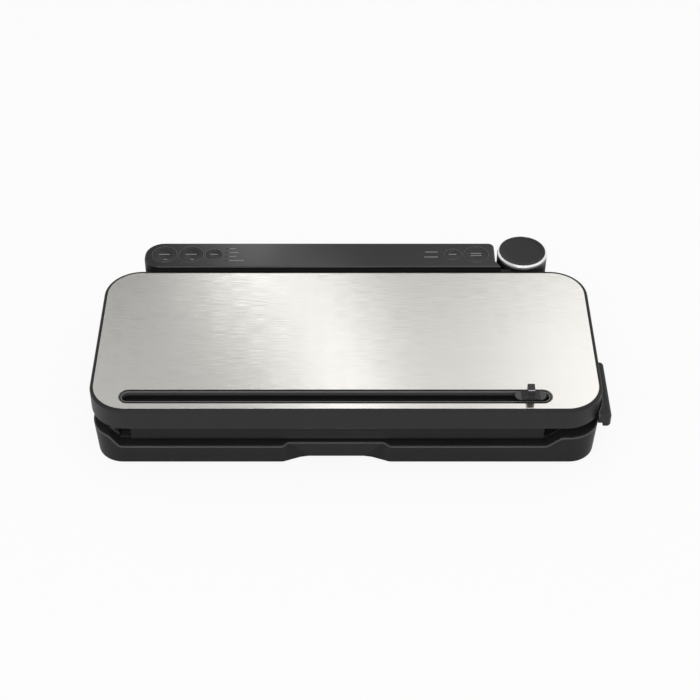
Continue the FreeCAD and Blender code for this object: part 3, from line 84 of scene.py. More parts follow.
PANEL_TOP = top("control_panel")
BUTTON_TOP = top("vacuum_button")
CAP_TOP = top("head_cap")
RING_TOP = top("head_ring")
TRACK_TOP = top("cutter_track")
FIN_TOP = top("cutter_slide")
TRACK_Y = middle("cutter_track")[1]
DOCK = middle("head_cap")


# Finishes

class Socket:
    """An output of a node. Arithmetic on it adds Math nodes to the same finish."""

    def __init__(self, finish, out):
        self.finish = finish
        self.out = out

    def __add__(self, other):
        return self.finish.maths("ADD", self, other)

    def __sub__(self, other):
        return self.finish.maths("SUBTRACT", self, other)

    def __rsub__(self, other):
        return self.finish.maths("SUBTRACT", other, self)

    def __mul__(self, other):
        return self.finish.maths("MULTIPLY", self, other)

    def __truediv__(self, other):
        return self.finish.maths("DIVIDE", self, other)

    def __rtruediv__(self, other):
        return self.finish.maths("DIVIDE", other, self)

    __radd__ = __add__
    __rmul__ = __mul__


class Finish:
    """One material: a Principled shader and the nodes that feed it."""

    def __init__(self, name, tree=None, **constants):
        if tree is None:
            self.material = bpy.data.materials.new(name)
            self.material.use_nodes = True
            tree = self.material.node_tree
            self.shader = tree.nodes["Principled BSDF"]
            for key, value in constants.items():
                self.shader.inputs[key.replace("_", " ")].default_value = value
        self.tree = tree

    def join(self, value, target):
        """Links a socket, or writes a plain value."""
        if isinstance(value, Socket):
            self.tree.links.new(value.out, target)
        else:
            target.default_value = value

    def node(self, kind, settings=None, inputs=None, output=0):
        """Adds a node of a kind: its settings first, then the values or links of its inputs."""
        made = self.tree.nodes.new("ShaderNode" + kind)
        for key, value in (settings or {}).items():
            if key == "stops":
                ramp = made.color_ramp.elements
                while len(ramp) < len(value):
                    ramp.new(1.0)
                for stop, (position, level) in zip(ramp, value):
                    stop.position = position
                    stop.color = grey(level)
            elif key == "interpolation":
                made.color_ramp.interpolation = value
            else:
                setattr(made, key, value)
        for key, value in (inputs or {}).items():
            self.join(value, made.inputs[key])
        return Socket(self, made.outputs[output])

    def maths(self, operation, first, second=0.0):
        """One step of arithmetic on two values."""
        return self.node("Math", {"operation": operation}, {0: first, 1: second})

    def coords(self):
        """Object coordinates, in metres."""
        return self.node("TexCoord", output="Object")

    def part(self, vector, axis):
        """One component of a vector."""
        return self.node("SeparateXYZ", {}, {"Vector": vector}, axis)

    def noise(self, scale, detail=2.0, vector=None):
        """Soft noise with a number of features to the metre."""
        vector = vector or self.coords()
        return self.node("TexNoise", {}, {"Vector": vector, "Scale": scale, "Detail": detail})

    def streaks(self, scale, detail=2.0):
        """Noise with its own number of features to the metre along each axis."""
        vector = self.node("Mapping", {}, {"Vector": self.coords(), "Scale": scale})
        return self.noise(1.0, detail, vector)

    def waves(self, axis, profile, scale):
        """Straight waves that follow each other along one axis."""
        settings = {"bands_direction": axis, "wave_profile": profile}
        return self.node("TexWave", settings, {"Vector": self.coords(), "Scale": scale}, "Fac")

    def ramp(self, value, low, high):
        """Zero below low, one above high and smooth between."""
        inputs = {"Value": value, "From Min": low, "From Max": high}
        return self.node("MapRange", {"interpolation_type": "SMOOTHSTEP"}, inputs)

    def above(self, low, high):
        """Zero below one height in millimetres, one above another and smooth between."""
        return self.ramp(self.part(self.coords(), "Z"), low * MM, high * MM)

    def blend(self, factor, first, second):
        """A colour between two colours."""
        return self.node("Mix", {"data_type": "RGBA"}, {0: factor, 6: first, 7: second}, 2)

    def soft_edges(self, radius):
        """The surface direction with every sharp edge rounded by a radius in millimetres."""
        return self.node("Bevel", {"samples": 6}, {"Radius": radius * MM})

    def facing(self, kind="True Normal"):
        """The surface direction: that of the flat face, or the smoothed one."""
        return self.node("NewGeometry", output=kind)

    def own(self, direction):
        """A surface direction in the piece's own axes, so that it stays with the piece as it moves."""
        settings = {"vector_type": "NORMAL", "convert_from": "WORLD", "convert_to": "OBJECT"}
        return self.node("VectorTransform", settings, {"Vector": direction})

    def edge_mask(self, rounded):
        """How far a rounded direction leaves the true one: zero on a flat face, more at an edge."""
        settings = {"operation": "DOT_PRODUCT"}
        return 1 - self.node("VectorMath", settings, {0: rounded, 1: self.facing()}, "Value")

    def edge_light_mask(self, reach):
        """A mask for painted highlight: one along edges that face up and outwards, over a reach to each
        side, zero on flat faces.
        """
        wide = self.soft_edges(reach)
        lift = self.part(self.own(wide), "Z")
        upward = self.ramp(lift, 0.15, 0.4) * (1 - self.ramp(lift, 0.9, 0.985))
        return self.ramp(self.edge_mask(wide), 0.015, 0.1) * upward

    def bump(self, height, depth, strength=1.0, normal=None):
        """A surface direction tilted by a height pattern of a depth in millimetres."""
        inputs = {"Height": height, "Distance": depth * MM, "Strength": strength}
        if normal:
            inputs["Normal"] = normal
        return self.node("Bump", {}, inputs)

    def feed(self, **links):
        """Joins values to the shader's inputs by name."""
        for key, value in links.items():
            self.join(value, self.shader.inputs[key.replace("_", " ")])
        return self


def grey(level, warm=0.0):
    """A linear colour near grey; warm lifts red and lowers blue."""
    return (level * (1 + warm), level, level * (1 - warm), 1)


def moulded(name, level, roughness, grain=0.35, relief=0.012, edge=0.5, edge_light=(1.0, 0.0),
            warm=0.0, **constants):
    """Moulded plastic: spark-eroded grain as fine bump and cloudy sheen.

    edge_light gives how many times paler its upper edges are, as painted highlight (below one they are
    darker, as painted shade), and how glossy.
    """
    finish = Finish(name, Coat_Roughness=0.2, **constants)
    paler, gloss = edge_light
    rounded = finish.soft_edges(edge)
    cloud = finish.noise(38.0, 4.0)
    pits = finish.noise(1000 / grain, 1.0)
    colour = finish.blend(cloud, grey(level * 0.82, warm), grey(level * 1.18, warm))
    if paler != 1.0:
        # Painted highlight: upper edges lightened in colour where light would catch them
        edges = finish.edge_light_mask(4 * edge)
        colour = finish.blend(edges, colour, grey(level * paler, warm))
        finish.feed(Coat_Weight=edges * gloss)
    return finish.feed(
        Base_Color=colour,
        Roughness=roughness + (cloud - 0.5) * 0.16 + (pits - 0.5) * 0.1,
        Normal=finish.bump(pits, relief, 1.0, rounded),
    )


def track_plastic():
    """Cutter track: dull black rim, upper channel walls painted paler as painted light, black floor,
    glossy channel edges with a painted highlight.
    """
    finish = Finish("track_plastic", Specular_IOR_Level=0.2, Coat_Roughness=0.25)
    wall_foot = TRACK_TOP - 3.8
    half_channel = 6.0
    below_rim = 1 - finish.above(TRACK_TOP - 0.25, TRACK_TOP - 0.05)
    # Painted light: the upper channel walls paler, as if lit
    walls = finish.above(wall_foot, wall_foot + 0.5) * below_rim
    pits = finish.noise(2800.0, 1.0)
    aside = finish.maths("ABSOLUTE", finish.part(finish.coords(), "Y") - TRACK_Y * MM)
    inside = 1 - finish.ramp(aside, (half_channel - 0.2) * MM, (half_channel + 0.2) * MM)
    inner = inside * finish.above(TRACK_TOP - 2.7, TRACK_TOP - 1.7)
    # Painted highlight along the inner channel edges
    edges = finish.edge_light_mask(1.8) * inner
    rim = finish.blend(pits, grey(0.012), grey(0.018))
    return finish.feed(
        Base_Color=finish.blend(edges, finish.blend(walls, rim, grey(0.1)), grey(0.3)),
        Roughness=0.42 + pits * 0.1,
        Coat_Weight=edges,
        Normal=finish.bump(pits, 0.01, 1.0, finish.soft_edges(0.4)),
    )


def cutter_plastic():
    """Cutter slide: shoe with flat tops painted paler as painted light, dark wedge and fin, a white
    painted highlight on the fin's front edge.
    """
    finish = Finish("cutter_plastic", Specular_IOR_Level=0.3, Coat_Roughness=0.15)
    reach = 1.6
    fin_foot = FIN_TOP - 6.1
    # Painted light: faces that point up are paler
    flat = finish.ramp(finish.part(finish.own(finish.facing()), "Z"), 0.95, 0.99)
    fin = finish.above(fin_foot, fin_foot + 2.0)
    pits = finish.noise(2600.0, 1.0)
    back = finish.part(finish.own(finish.soft_edges(reach)), "Y")
    # Painted highlight on front-facing upper edges, white on the fin
    edges = finish.edge_light_mask(reach) * (1 - finish.ramp(back, -0.6, -0.35))
    tops = finish.blend(fin, grey(0.075), grey(0.03))
    colour = finish.blend(flat, finish.blend(pits, grey(0.01), grey(0.016)), tops)
    return finish.feed(
        Base_Color=finish.blend(edges, colour, finish.blend(fin, grey(0.09), grey(0.9))),
        Roughness=0.36 + pits * 0.1,
        Coat_Weight=edges * fin,
        Normal=finish.bump(pits, 0.008, 1.0, finish.soft_edges(0.4)),
    )


def panel_film():
    """Control panel: black plastic with a smooth lacquer on its upper face and dull side walls."""
    finish = Finish("panel_film", Specular_IOR_Level=0.1, Coat_Roughness=0.1)
    upward = finish.part(finish.own(finish.facing("Normal")), "Z")
    cloud = finish.noise(45.0, 3.0)
    specks = finish.noise(2500.0, 1.0)
    return finish.feed(
        Base_Color=finish.blend(cloud * 0.6 + specks * 0.4, grey(0.007), grey(0.011)),
        Roughness=0.3 + cloud * 0.1,
        Coat_Weight=finish.ramp(upward, 0.3, 0.8),
        Normal=finish.bump(specks, 0.002, 0.5, finish.soft_edges(0.5)),
    )


def brushed_sheet():
    """Stainless sheet: hair lines along its length tilt the surface to and fro, over bands of tone."""
    finish = Finish("brushed_sheet", Metallic=1.0)
    hair = finish.streaks((60.0, 5200.0, 5200.0))
    lines = finish.streaks((60.0, 1250.0, 1250.0), 3.0)
    bands = finish.streaks((4.0, 70.0, 70.0), 1.0)
    tone = (lines - 0.5) * 0.7 + (hair - 0.5) * 0.7 + (bands - 0.5) * 0.2 + 0.5
    lean = (hair - 0.5) * 0.16 + (lines - 0.5) * 0.008
    settings = {"vector_type": "VECTOR", "convert_from": "OBJECT", "convert_to": "WORLD"}
    tilt = finish.node("CombineXYZ", {}, {"Y": lean})
    turned = finish.node("VectorTransform", settings, {"Vector": tilt})
    leaning = finish.node("VectorMath", {"operation": "ADD"}, {0: finish.soft_edges(0.25), 1: turned})
    return finish.feed(
        Base_Color=finish.blend(tone, (0.84, 0.818, 0.775, 1), (0.97, 0.95, 0.905, 1)),
        Roughness=0.15 + (lines - 0.5) * 0.08,
        Normal=finish.node("VectorMath", {"operation": "NORMALIZE"}, {0: leaning}),
    )


def turned_metal(name, low, high, roughness, warm=0.0):
    """Plain or plated metal: faint tool lines and cloudy sheen with brighter edges."""
    finish = Finish(name, Metallic=1.0)
    rounded = finish.soft_edges(0.3)
    edges = finish.ramp(finish.edge_mask(rounded), 0.02, 0.3)
    cloud = finish.noise(90.0, 4.0)
    lines = finish.streaks((300.0, 300.0, 6000.0))
    faces = finish.blend(cloud * 0.6 + lines * 0.4, grey(low, warm), grey(high, warm))
    return finish.feed(
        Base_Color=finish.blend(edges * 0.5, faces, grey(high, warm)),
        Roughness=roughness + (cloud - 0.5) * 0.12 + (lines - 0.5) * 0.1,
        Normal=finish.bump(lines, 0.01, 0.6, rounded),
    )


def ring_metal():
    """Ring of the head: polished along its bevel, grey paint below, darkening to black towards its foot
    as painted shade.
    """
    finish = Finish("ring_metal")
    bevel_foot = RING_TOP - 1.5
    polished = finish.above(bevel_foot, bevel_foot + 0.3)
    # Grey paint that fades to black towards the foot: painted shade
    paint_and_shade = finish.above(RING_TOP - 4.4, bevel_foot)
    lines = finish.streaks((250.0, 250.0, 5000.0))
    lower = finish.blend(paint_and_shade, grey(0.01), grey(0.34))
    bright = finish.blend(lines, grey(0.86), grey(0.96))
    return finish.feed(
        Base_Color=finish.blend(polished, lower, bright),
        Metallic=polished,
        Roughness=0.4 - polished * 0.18 + (lines - 0.5) * 0.1,
        Normal=finish.bump(lines, 0.004, 0.5, finish.soft_edges(0.2)),
    )


def soft_rubber(name, low, high, cell, relief, roughness=0.8):
    """Rubber or foam: small closed cells as bump, with tone following the cells."""
    finish = Finish(name, Specular_IOR_Level=0.3)
    inputs = {"Vector": finish.coords(), "Scale": 1000 / cell, "Smoothness": 0.6}
    cells = finish.node("TexVoronoi", {"feature": "SMOOTH_F1"}, inputs, "Distance")
    cloud = finish.noise(120.0, 3.0)
    return finish.feed(
        Base_Color=finish.blend(cells * 0.6 + cloud * 0.4, grey(low), grey(high)),
        Roughness=roughness + (cloud - 0.5) * 0.15,
        Normal=finish.bump(cells, relief, 0.8, finish.soft_edges(0.4)),
    )


def release_cloth():
    """Brown coated glass cloth: a fine plain weave shows through the coating."""
    finish = Finish("release_cloth", Specular_IOR_Level=0.4)
    weave = finish.waves("X", "SIN", 700.0) * finish.waves("Y", "SIN", 700.0)
    cloud = finish.noise(60.0, 4.0)
    tone = weave * 0.5 + cloud * 0.5
    return finish.feed(
        Base_Color=finish.blend(tone, (0.11, 0.052, 0.02, 1), (0.27, 0.15, 0.07, 1)),
        Roughness=0.35 + cloud * 0.2,
        Normal=finish.bump(weave, 0.05),
    )


def laminate():
    """Green circuit laminate: copper runs under the mask as paler straight lines."""
    finish = Finish("laminate", Specular_IOR_Level=0.5)
    inputs = {"Vector": finish.coords(), "Scale": 160.0, "Mortar Size": 0.012}
    runs = finish.node("TexBrick", {}, inputs, "Fac")
    cloud = finish.noise(200.0, 3.0)
    mask = finish.blend(cloud, (0.008, 0.07, 0.03, 1), (0.016, 0.12, 0.05, 1))
    return finish.feed(
        Base_Color=finish.blend(runs, mask, (0.07, 0.25, 0.1, 1)),
        Roughness=0.35 + runs * 0.15,
        Normal=finish.bump(runs, 0.05),
    )


def core_iron():
    """Transformer iron: thin stacked sheets seen as fine lines, with dark varnish."""
    finish = Finish("core_iron", Metallic=0.6)
    sheets = finish.waves("Y", "SAW", 320.0)
    cloud = finish.noise(70.0, 4.0)
    return finish.feed(
        Base_Color=finish.blend(sheets * 0.6 + cloud * 0.4, grey(0.035, 0.2), grey(0.16, 0.12)),
        Roughness=0.4 + cloud * 0.25,
        Normal=finish.bump(sheets, 0.1),
    )


def clear_lens(name, dark, bright):
    """Frosted light lens or print: a fine cloudy grain between two tones."""
    finish = Finish(name, Specular_IOR_Level=0.5)
    cloud = finish.noise(900.0, 2.0)
    return finish.feed(
        Base_Color=finish.blend(cloud, grey(dark), grey(bright)),
        Roughness=0.22 + cloud * 0.15,
        Normal=finish.bump(cloud, 0.02),
    )


def silicone():
    """Milky tube: soft cloudy tone with a slight sheen."""
    finish = Finish(
        "silicone",
        Specular_IOR_Level=0.45,
        Subsurface_Weight=0.2,
        Subsurface_Radius=(0.002, 0.002, 0.0018),
    )
    cloud = finish.noise(150.0, 4.0)
    return finish.feed(
        Base_Color=finish.blend(cloud, grey(0.5, 0.03), grey(0.66, 0.02)),
        Roughness=0.35 + cloud * 0.2,
        Normal=finish.bump(cloud, 0.05),
    )


# edge_light: above one paints upper edges paler as painted highlight; shell's 0.8 paints them darker as
# painted shade
shell = moulded("shell", 0.021, 0.46, edge=0.7, edge_light=(0.8, 0.0), Specular_IOR_Level=0.2)
shell_low = moulded("shell_low", 0.0235, 0.44, edge=0.8, edge_light=(5.5, 0.5), Specular_IOR_Level=0.07)
# A darker copy of the black shell plastic: painted shade on the console housing and dock tower
shell_shaded = moulded("shell_shaded", 0.012, 0.44, edge=0.8, edge_light=(3.0, 0.3), Specular_IOR_Level=0.07)
deck_grey = moulded("deck_grey", 0.03, 0.5, edge=0.6, edge_light=(1.6, 0.0), Specular_IOR_Level=0.2)
lever_black = moulded("lever_black", 0.025, 0.42, edge=0.8, edge_light=(4.0, 0.4), Specular_IOR_Level=0.2)
track_black = track_plastic()
cutter_black = cutter_plastic()
panel_black = panel_film()
button_face = moulded(
    "button_face", 0.0095, 0.26, grain=0.2, relief=0.002, edge=0.3, Specular_IOR_Level=0.42,
)
# Button rims a paler grey than the panel: painted highlight
button_rim_highlight = moulded(
    "button_rim_highlight", 0.09, 0.3, grain=0.2, relief=0.002, edge=0.2, Specular_IOR_Level=0.5,
)
cap_face = moulded(
    "cap_face", 0.0085, 0.3, grain=0.22, relief=0.004, edge=0.4, Specular_IOR_Level=0.34,
)
dark_plastic = moulded("dark_plastic", 0.03, 0.5, edge_light=(1.4, 0.0))
grey_plastic = moulded("grey_plastic", 0.22, 0.5, edge_light=(1.15, 0.0))
pale_plastic = moulded("pale_plastic", 0.55, 0.45, edge_light=(1.08, 0.0), warm=0.03)
sheet_steel = brushed_sheet()
bright_band = ring_metal()
plated = turned_metal("plated", 0.42, 0.66, 0.34, 0.02)
blade_steel = turned_metal("blade_steel", 0.55, 0.8, 0.2)
strip_alloy = turned_metal("strip_alloy", 0.34, 0.5, 0.35, 0.06)
black_rubber = soft_rubber("black_rubber", 0.008, 0.02, 0.5, 0.03)
gasket_foam = soft_rubber("gasket_foam", 0.028, 0.07, 0.45, 0.12, 0.9)
seal_rubber = soft_rubber("seal_rubber", 0.05, 0.09, 0.4, 0.02, 0.7)
tube_skin = silicone()
tape = release_cloth()
board = laminate()
iron = core_iron()
lens = clear_lens("lens", 0.16, 0.34)
lens_unlit = clear_lens("lens_unlit", 0.002, 0.006)
print_ink = clear_lens("print_ink", 0.17, 0.3)

BUTTONS = ("vacuum_button", "seal_button", "mode_button", "select_button", "handheld_button")
DRESS = {
    shell: ("lid_frame",),
    shell_low: ("base_tray", "lid_liner", "head_body"),
    shell_shaded: ("console_housing", "dock_tower"),
    track_black: ("cutter_track",),
    deck_grey: ("base_deck",),
    lever_black: ("latch_lever",),
    cutter_black: ("cutter_slide",),
    panel_black: ("control_panel",),
    button_face: BUTTONS,
    cap_face: ("head_cap",),
    dark_plastic: (
        "latch_hooks", "shaft_bushes", "head_nozzle", "pump_head",
        "solenoid_valve", "vacuum_switch", "lid_switch", "key_switches",
    ),
    grey_plastic: ("drip_tray", "vacuum_port"),
    pale_plastic: ("board_posts", "heat_bar"),
    sheet_steel: ("lid_plate",),
    bright_band: ("head_ring",),
    plated: (
        "hinge_pins", "latch_shaft", "motor_shaft", "pump_bracket",
        "housing_screws", "lid_catches", "pump_motor",
    ),
    blade_steel: ("cutter_blade",),
    strip_alloy: ("heat_strip",),
    black_rubber: ("rubber_feet", "pump_mounts", "cord_gland"),
    gasket_foam: ("lower_gasket", "upper_gasket"),
    seal_rubber: ("seal_bar",),
    tube_skin: ("port_tube", "valve_tube", "dock_tube"),
    tape: ("release_tape",),
    board: ("control_board", "power_board"),
    iron: ("transformer",),
    lens_unlit: ("light_pipes",),
}
for finish, names in DRESS.items():
    for name in names:
        nodes[name].data.materials.clear()
        nodes[name].data.materials.append(finish.material)


# Shapes

def skin(name, rings, finish, body, loop=False):
    """A closed surface through rings of points.

    Each ring's points join those of the next ring as quads. In a loop the last ring joins the first,
    otherwise both end rings close to their middle points. If the faces enclose a negative volume,
    they are turned round to point outwards.
    """
    count, around = rings.shape[:2]
    index = np.arange(count * around).reshape(count, around)
    following = np.roll(index, -1, axis=1)
    corners = [index, following, np.roll(following, -1, axis=0), np.roll(index, -1, axis=0)]
    last = count if loop else count - 1
    quads = np.stack(corners, axis=-1)[:last].reshape(-1, 4)
    points = rings.reshape(-1, 3)
    fans = np.empty((0, 3), int)
    if not loop:
        hub = len(points)
        points = np.vstack([points, rings[0].mean(axis=0), rings[-1].mean(axis=0)])
        bottom = np.stack([following[0], index[0], np.full(around, hub)], axis=-1)
        upper = np.stack([index[-1], following[-1], np.full(around, hub + 1)], axis=-1)
        fans = np.vstack([bottom, upper])
    halves = np.vstack([quads[:, [0, 1, 2]], quads[:, [0, 2, 3]], fans])
    a, b, c = (points[halves[:, k]] for k in range(3))
    if np.einsum("ij,ij->i", a, np.cross(b, c)).sum() < 0:
        quads, fans = quads[:, ::-1], fans[:, ::-1]
    mesh = bpy.data.meshes.new(name)
    mesh.from_pydata(points.tolist(), [], quads.tolist() + fans.tolist())
    mesh.polygons.foreach_set("use_smooth", np.ones(len(mesh.polygons), bool))
    mesh.materials.append(finish.material)
    mesh.update()
    piece = bpy.data.objects.new(name, mesh)
    scene.collection.objects.link(piece)
    if body:
        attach(piece, body)
    return piece


def rounds(steps):
    """Angles of a full turn in equal steps, in radians."""
    return np.linspace(0, TURN, steps, endpoint=False)


def stacked(x, y, height):
    """Rings, in metres, from their points across and back and the height of each ring."""
    return np.stack([x, y, np.broadcast_to(height[:, None], x.shape)], axis=-1) * MM


def turned_rings(profile, centre, around=72):
    """A profile of radius and height swung about an upright axis at centre."""
    radius, height = np.asarray(profile, float).T
    angle = rounds(around)
    x = centre[0] + radius[:, None] * np.cos(angle)
    y = centre[1] + radius[:, None] * np.sin(angle)
    return stacked(x, y, height)


def arc(centre, radius, start, stop, steps=6):
    """Points of radius and height on part of a circle, between two angles in degrees."""
    angle = np.radians(np.linspace(start, stop, steps))
    return centre + radius * np.stack([np.cos(angle), np.sin(angle)], axis=-1)


def pill_rings(centre, half, reach, bottom, crest, crown=0.35):
    """A low bar with half-round ends: a circle whose two halves stand apart by twice the reach.

    The outline shrinks by the crown as it rises over most of a quarter circle to the crest.
    """
    angle = rounds(40)
    turn = np.radians(np.linspace(0, 84, 6))
    shrink = np.concatenate([[1.0], 1 - crown * (1 - np.cos(turn))])
    rise = np.concatenate([[0.0], 0.4 + 0.6 * np.sin(turn)])
    x = centre[0] + np.sign(np.cos(angle)) * reach + half * shrink[:, None] * np.cos(angle)
    y = centre[1] + half * shrink[:, None] * np.sin(angle)
    return stacked(x, y, bottom + (crest - bottom) * rise)


def tube_rings(path, radius, flat=1.0, sides=18):
    """Circles of one radius square to a path, pressed to a share of their height by flat."""
    ahead = np.gradient(path, axis=0)
    ahead /= np.linalg.norm(ahead, axis=1, keepdims=True)
    out = np.cross(ahead, (0.0, 0.0, 1.0))
    out /= np.linalg.norm(out, axis=1, keepdims=True)
    up = flat * np.cross(out, ahead)
    angle = rounds(sides)[:, None]
    ring = np.cos(angle) * out[:, None, :] + np.sin(angle) * up[:, None, :]
    return (path[:, None, :] + radius * ring) * MM


# Pieces

BUTTON_FLOOR = BUTTON_TOP - 0.3
CAP_EDGE = 0.3
FLANGE_REACH = 1.1
FLANGE_THICK = 1.8
# Groove and bead of a button's face: how far in from its wall and down from its top
FACE_STEPS = np.array([
    (0.8, 0.0), (1.2, 0.16), (1.5, 0.24), (1.8, 0.17), (2.2, 0.1), (2.7, 0.22), (3.3, 0.3),
])
RIM_GAP = 0.62
RIM_BEAD = 0.3
RIM_SINK = 0.2
FACE_MIDDLE = 1.0
PRINT_SHARE = 0.42
PRINT_HALF = 0.6
PRINT_SINK = 0.1
PRINT_RISE = 0.03
# Print rows of a button's face, measured back from its middle
ONE_ROW = (0.3,)
TWO_ROWS = (1.5, -1.3)
DASHED = ("vacuum_button", "seal_button")
DASH_PLACE = np.array((1.4, -6.9))
DASH_HALF = 0.5
DASH_REACH = 1.1
DASH_FOOT = BUTTON_FLOOR - PRINT_SINK
DASH_TOP = BUTTON_TOP - 0.02


def print_bar(name, centre, reach, height, body):
    """A bar of print that stands a hair above the face at a height."""
    rings = pill_rings(centre, PRINT_HALF, reach, height - PRINT_SINK, height + PRINT_RISE)
    skin(name, rings, print_ink, body)


def button_trim():
    """Each button's cap, the rim of its hole, the print bars on it and the light dash of two of them.

    The cap is a profile swung about the button's axis: flange, wall, round edge, groove, bead and
    dished face. The rim is a half-round bead with a foot sunk in the panel, swung about the same axis.
    """
    for name in BUTTONS:
        spot = middle(name)
        cap = name + "_cap"
        flange = half_width(name)
        radius = flange - FLANGE_REACH
        foot = span(name)[0][2]
        shoulder = foot + FLANGE_THICK
        edge = (radius - CAP_EDGE, BUTTON_TOP - CAP_EDGE)
        profile = np.vstack([
            [[flange, foot], [flange, shoulder], [radius, shoulder], [radius, edge[1]]],
            arc(edge, CAP_EDGE, 0, 90, 5),
            (radius, BUTTON_TOP) - FACE_STEPS,
            [[FACE_MIDDLE, BUTTON_FLOOR]],
        ])
        face = skin(name + "_face", turned_rings(profile, spot), button_face, cap)
        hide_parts(name)
        rim = radius + RIM_GAP
        sunk = PANEL_TOP - RIM_SINK
        profile = np.vstack([
            arc((rim, PANEL_TOP), RIM_BEAD, 180, 0, 8),
            [[rim + RIM_BEAD, sunk], [rim - RIM_BEAD, sunk]],
        ])
        skin(name + "_rim", turned_rings(profile, spot), button_rim_highlight, "base", True)
        rows = TWO_ROWS if name == "handheld_button" else ONE_ROW
        for k, row in enumerate(rows):
            reach = radius * PRINT_SHARE
            print_bar(f"{name}_mark_{k}", spot + (0, row), reach, BUTTON_FLOOR, cap)
        if name in DASHED:
            dash = pill_rings(spot + DASH_PLACE, DASH_HALF, DASH_REACH, DASH_FOOT, DASH_TOP)
            skin(name + "_dash", dash, lens, cap)


PIPE_RADIUS = 0.8
LENS_RADIUS = 1.0
LENS_FLAT = 0.3
LENS_FOOT = -0.2
LEGEND_GAP = 3.2
LEFT_PITCH = 5.4
LEFT_LEGENDS = (11.4, 4.8, 6.2, 4.2)
RIGHT_PITCH = 6.7
RIGHT_LEGENDS = (10.8, 9.8)


def indicator_lights():
    """A lens over each light pipe and a print bar beside it, in a left and a right column.

    The lens is most of a quarter circle, pressed low and swung about the pipe's axis.
    """
    low, high = span("light_pipes")
    columns = (
        (low[0] + PIPE_RADIUS, 1, LEFT_PITCH, LEFT_LEGENDS),
        (high[0] - PIPE_RADIUS, -1, RIGHT_PITCH, RIGHT_LEGENDS),
    )
    dome = arc((0.0, -0.05), LENS_RADIUS, 4, 76) * (1, LENS_FLAT)
    profile = np.vstack([[[LENS_RADIUS, LENS_FOOT]], dome]) + (0, PANEL_TOP)
    count = 0
    for x, side, pitch, legends in columns:
        for row, length in enumerate(legends):
            y = (low[1] + high[1]) / 2 + (row - (len(legends) - 1) / 2) * pitch
            rings = turned_rings(profile, (x, y), 24)
            skin(f"light_{count}", rings, lens_unlit, "base")
            bar_middle = (x + side * (LEGEND_GAP + length / 2), y)
            print_bar(f"legend_{count}", bar_middle, length / 2, PANEL_TOP, "base")
            count += 1


# Dish of the head's cap: how far in from its wall and down from its top
DISH_STEPS = np.array([(1.1, 0.02), (1.7, 0.18), (5.7, 0.26), (11.7, 0.3), (17.7, 0.31)])
DISH_EDGE = 0.5
DISH_LIFT = 0.2


def head_dish():
    """Cap of the head: wall, round edge bead and shallow dish as a profile swung about its axis."""
    radius = half_width("head_cap")
    foot = span("head_cap")[0][2] + DISH_LIFT
    profile = np.vstack([
        [[radius, foot]],
        arc((radius - DISH_EDGE, CAP_TOP - DISH_EDGE), DISH_EDGE, 0, 90),
        (radius, CAP_TOP) - DISH_STEPS,
    ])
    piece = skin("head_dish", turned_rings(profile, DOCK, 96), cap_face, "head")
    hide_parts("head_cap")


HOSE_RADIUS = 1.95
HOSE_FLAT = 0.24
HOSE_TURNS = 3
HOSE_STEPS = 72
COIL_RADIUS = 13.4
COIL_FOOT = 2.2
COIL_PITCH = 4.15


def curled_hose():
    """Hose under the head: a flattened circle carried along a rising spiral.

    It is pressed flat.
    """
    low, high = span("head_hose")
    turns = np.linspace(0, HOSE_TURNS, HOSE_TURNS * HOSE_STEPS + 1)
    x = DOCK[0] + COIL_RADIUS * np.cos(turns * TURN)
    y = DOCK[1] + COIL_RADIUS * np.sin(turns * TURN)
    path = np.stack([x, y, low[2] + COIL_FOOT + turns * COIL_PITCH], axis=-1)
    rings = tube_rings(path, HOSE_RADIUS, HOSE_FLAT)
    hose = skin("curled_hose", rings, black_rubber, None)
    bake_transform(hose)
    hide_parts("head_hose")


FOOT_RADIUS = 8.0
FOOT_EDGE = 0.8
FOOT_GAP = 0.02
TREAD = 0.5


def foot_pads():
    """Rubber feet: a profile with two tread grooves and a round lower edge, swung about each foot."""
    low, high = span("rubber_feet")
    columns = (low[0] + FOOT_RADIUS, high[0] - FOOT_RADIUS)
    rows = (low[1] + FOOT_RADIUS, high[1] - FOOT_RADIUS)
    profile = np.vstack([
        [[2.0, TREAD], [2.4, 0.0], [3.8, 0.0], [4.2, TREAD], [4.8, TREAD], [5.2, 0.0]],
        arc((FOOT_RADIUS - FOOT_EDGE, FOOT_EDGE), FOOT_EDGE, -90, 0),
        [[FOOT_RADIUS, high[2] - FOOT_GAP]],
    ])
    spots = [(x, y) for x in columns for y in rows]
    for k, spot in enumerate(spots):
        piece = skin(f"foot_{k}", turned_rings(profile, spot, 48), black_rubber, "base")
    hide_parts("rubber_feet")


button_trim()
indicator_lights()
head_dish()
curled_hose()
foot_pads()


# Studio

FLOOR_RADIUS = 4000.0
FLOOR_THICK = 0.5
FLOOR_GLOW = 0.9
RAYS_SEEN = ("Is Camera Ray", "Is Glossy Ray", "Is Transmission Ray")
# Soft panels behind the object, as the lid's plate mirrors them: place from left to right and level
PLATE_PANELS = (
    (0.0, 0.64), (0.2, 0.54), (0.34, 0.47), (0.4, 0.5), (0.46, 1.0),
    (0.505, 1.7), (0.548, 0.55), (0.62, 0.72), (0.74, 1.18), (1.0, 0.9),
)
# The same panels lower down, as the console mirrors them
CONSOLE_PANELS = (
    (0.0, 0.7), (0.3, 0.15), (0.355, 0.74), (0.41, 2.45),
    (0.44, 1.0), (0.48, 0.38), (0.64, 0.4), (0.8, 1.0),
)
# Width and lean of the panels and the heights where they fade, on a direction of length one
PANELS_WIDTH = 0.6
PANELS_LEAN = 0.4
LEAN_FROM = 0.687
PLATE_FADE = (0.632, 0.641)
CONSOLE_FADE = (0.45, 0.58)
TABLE_LEVEL = 0.85
EVEN_LEVEL = 0.55


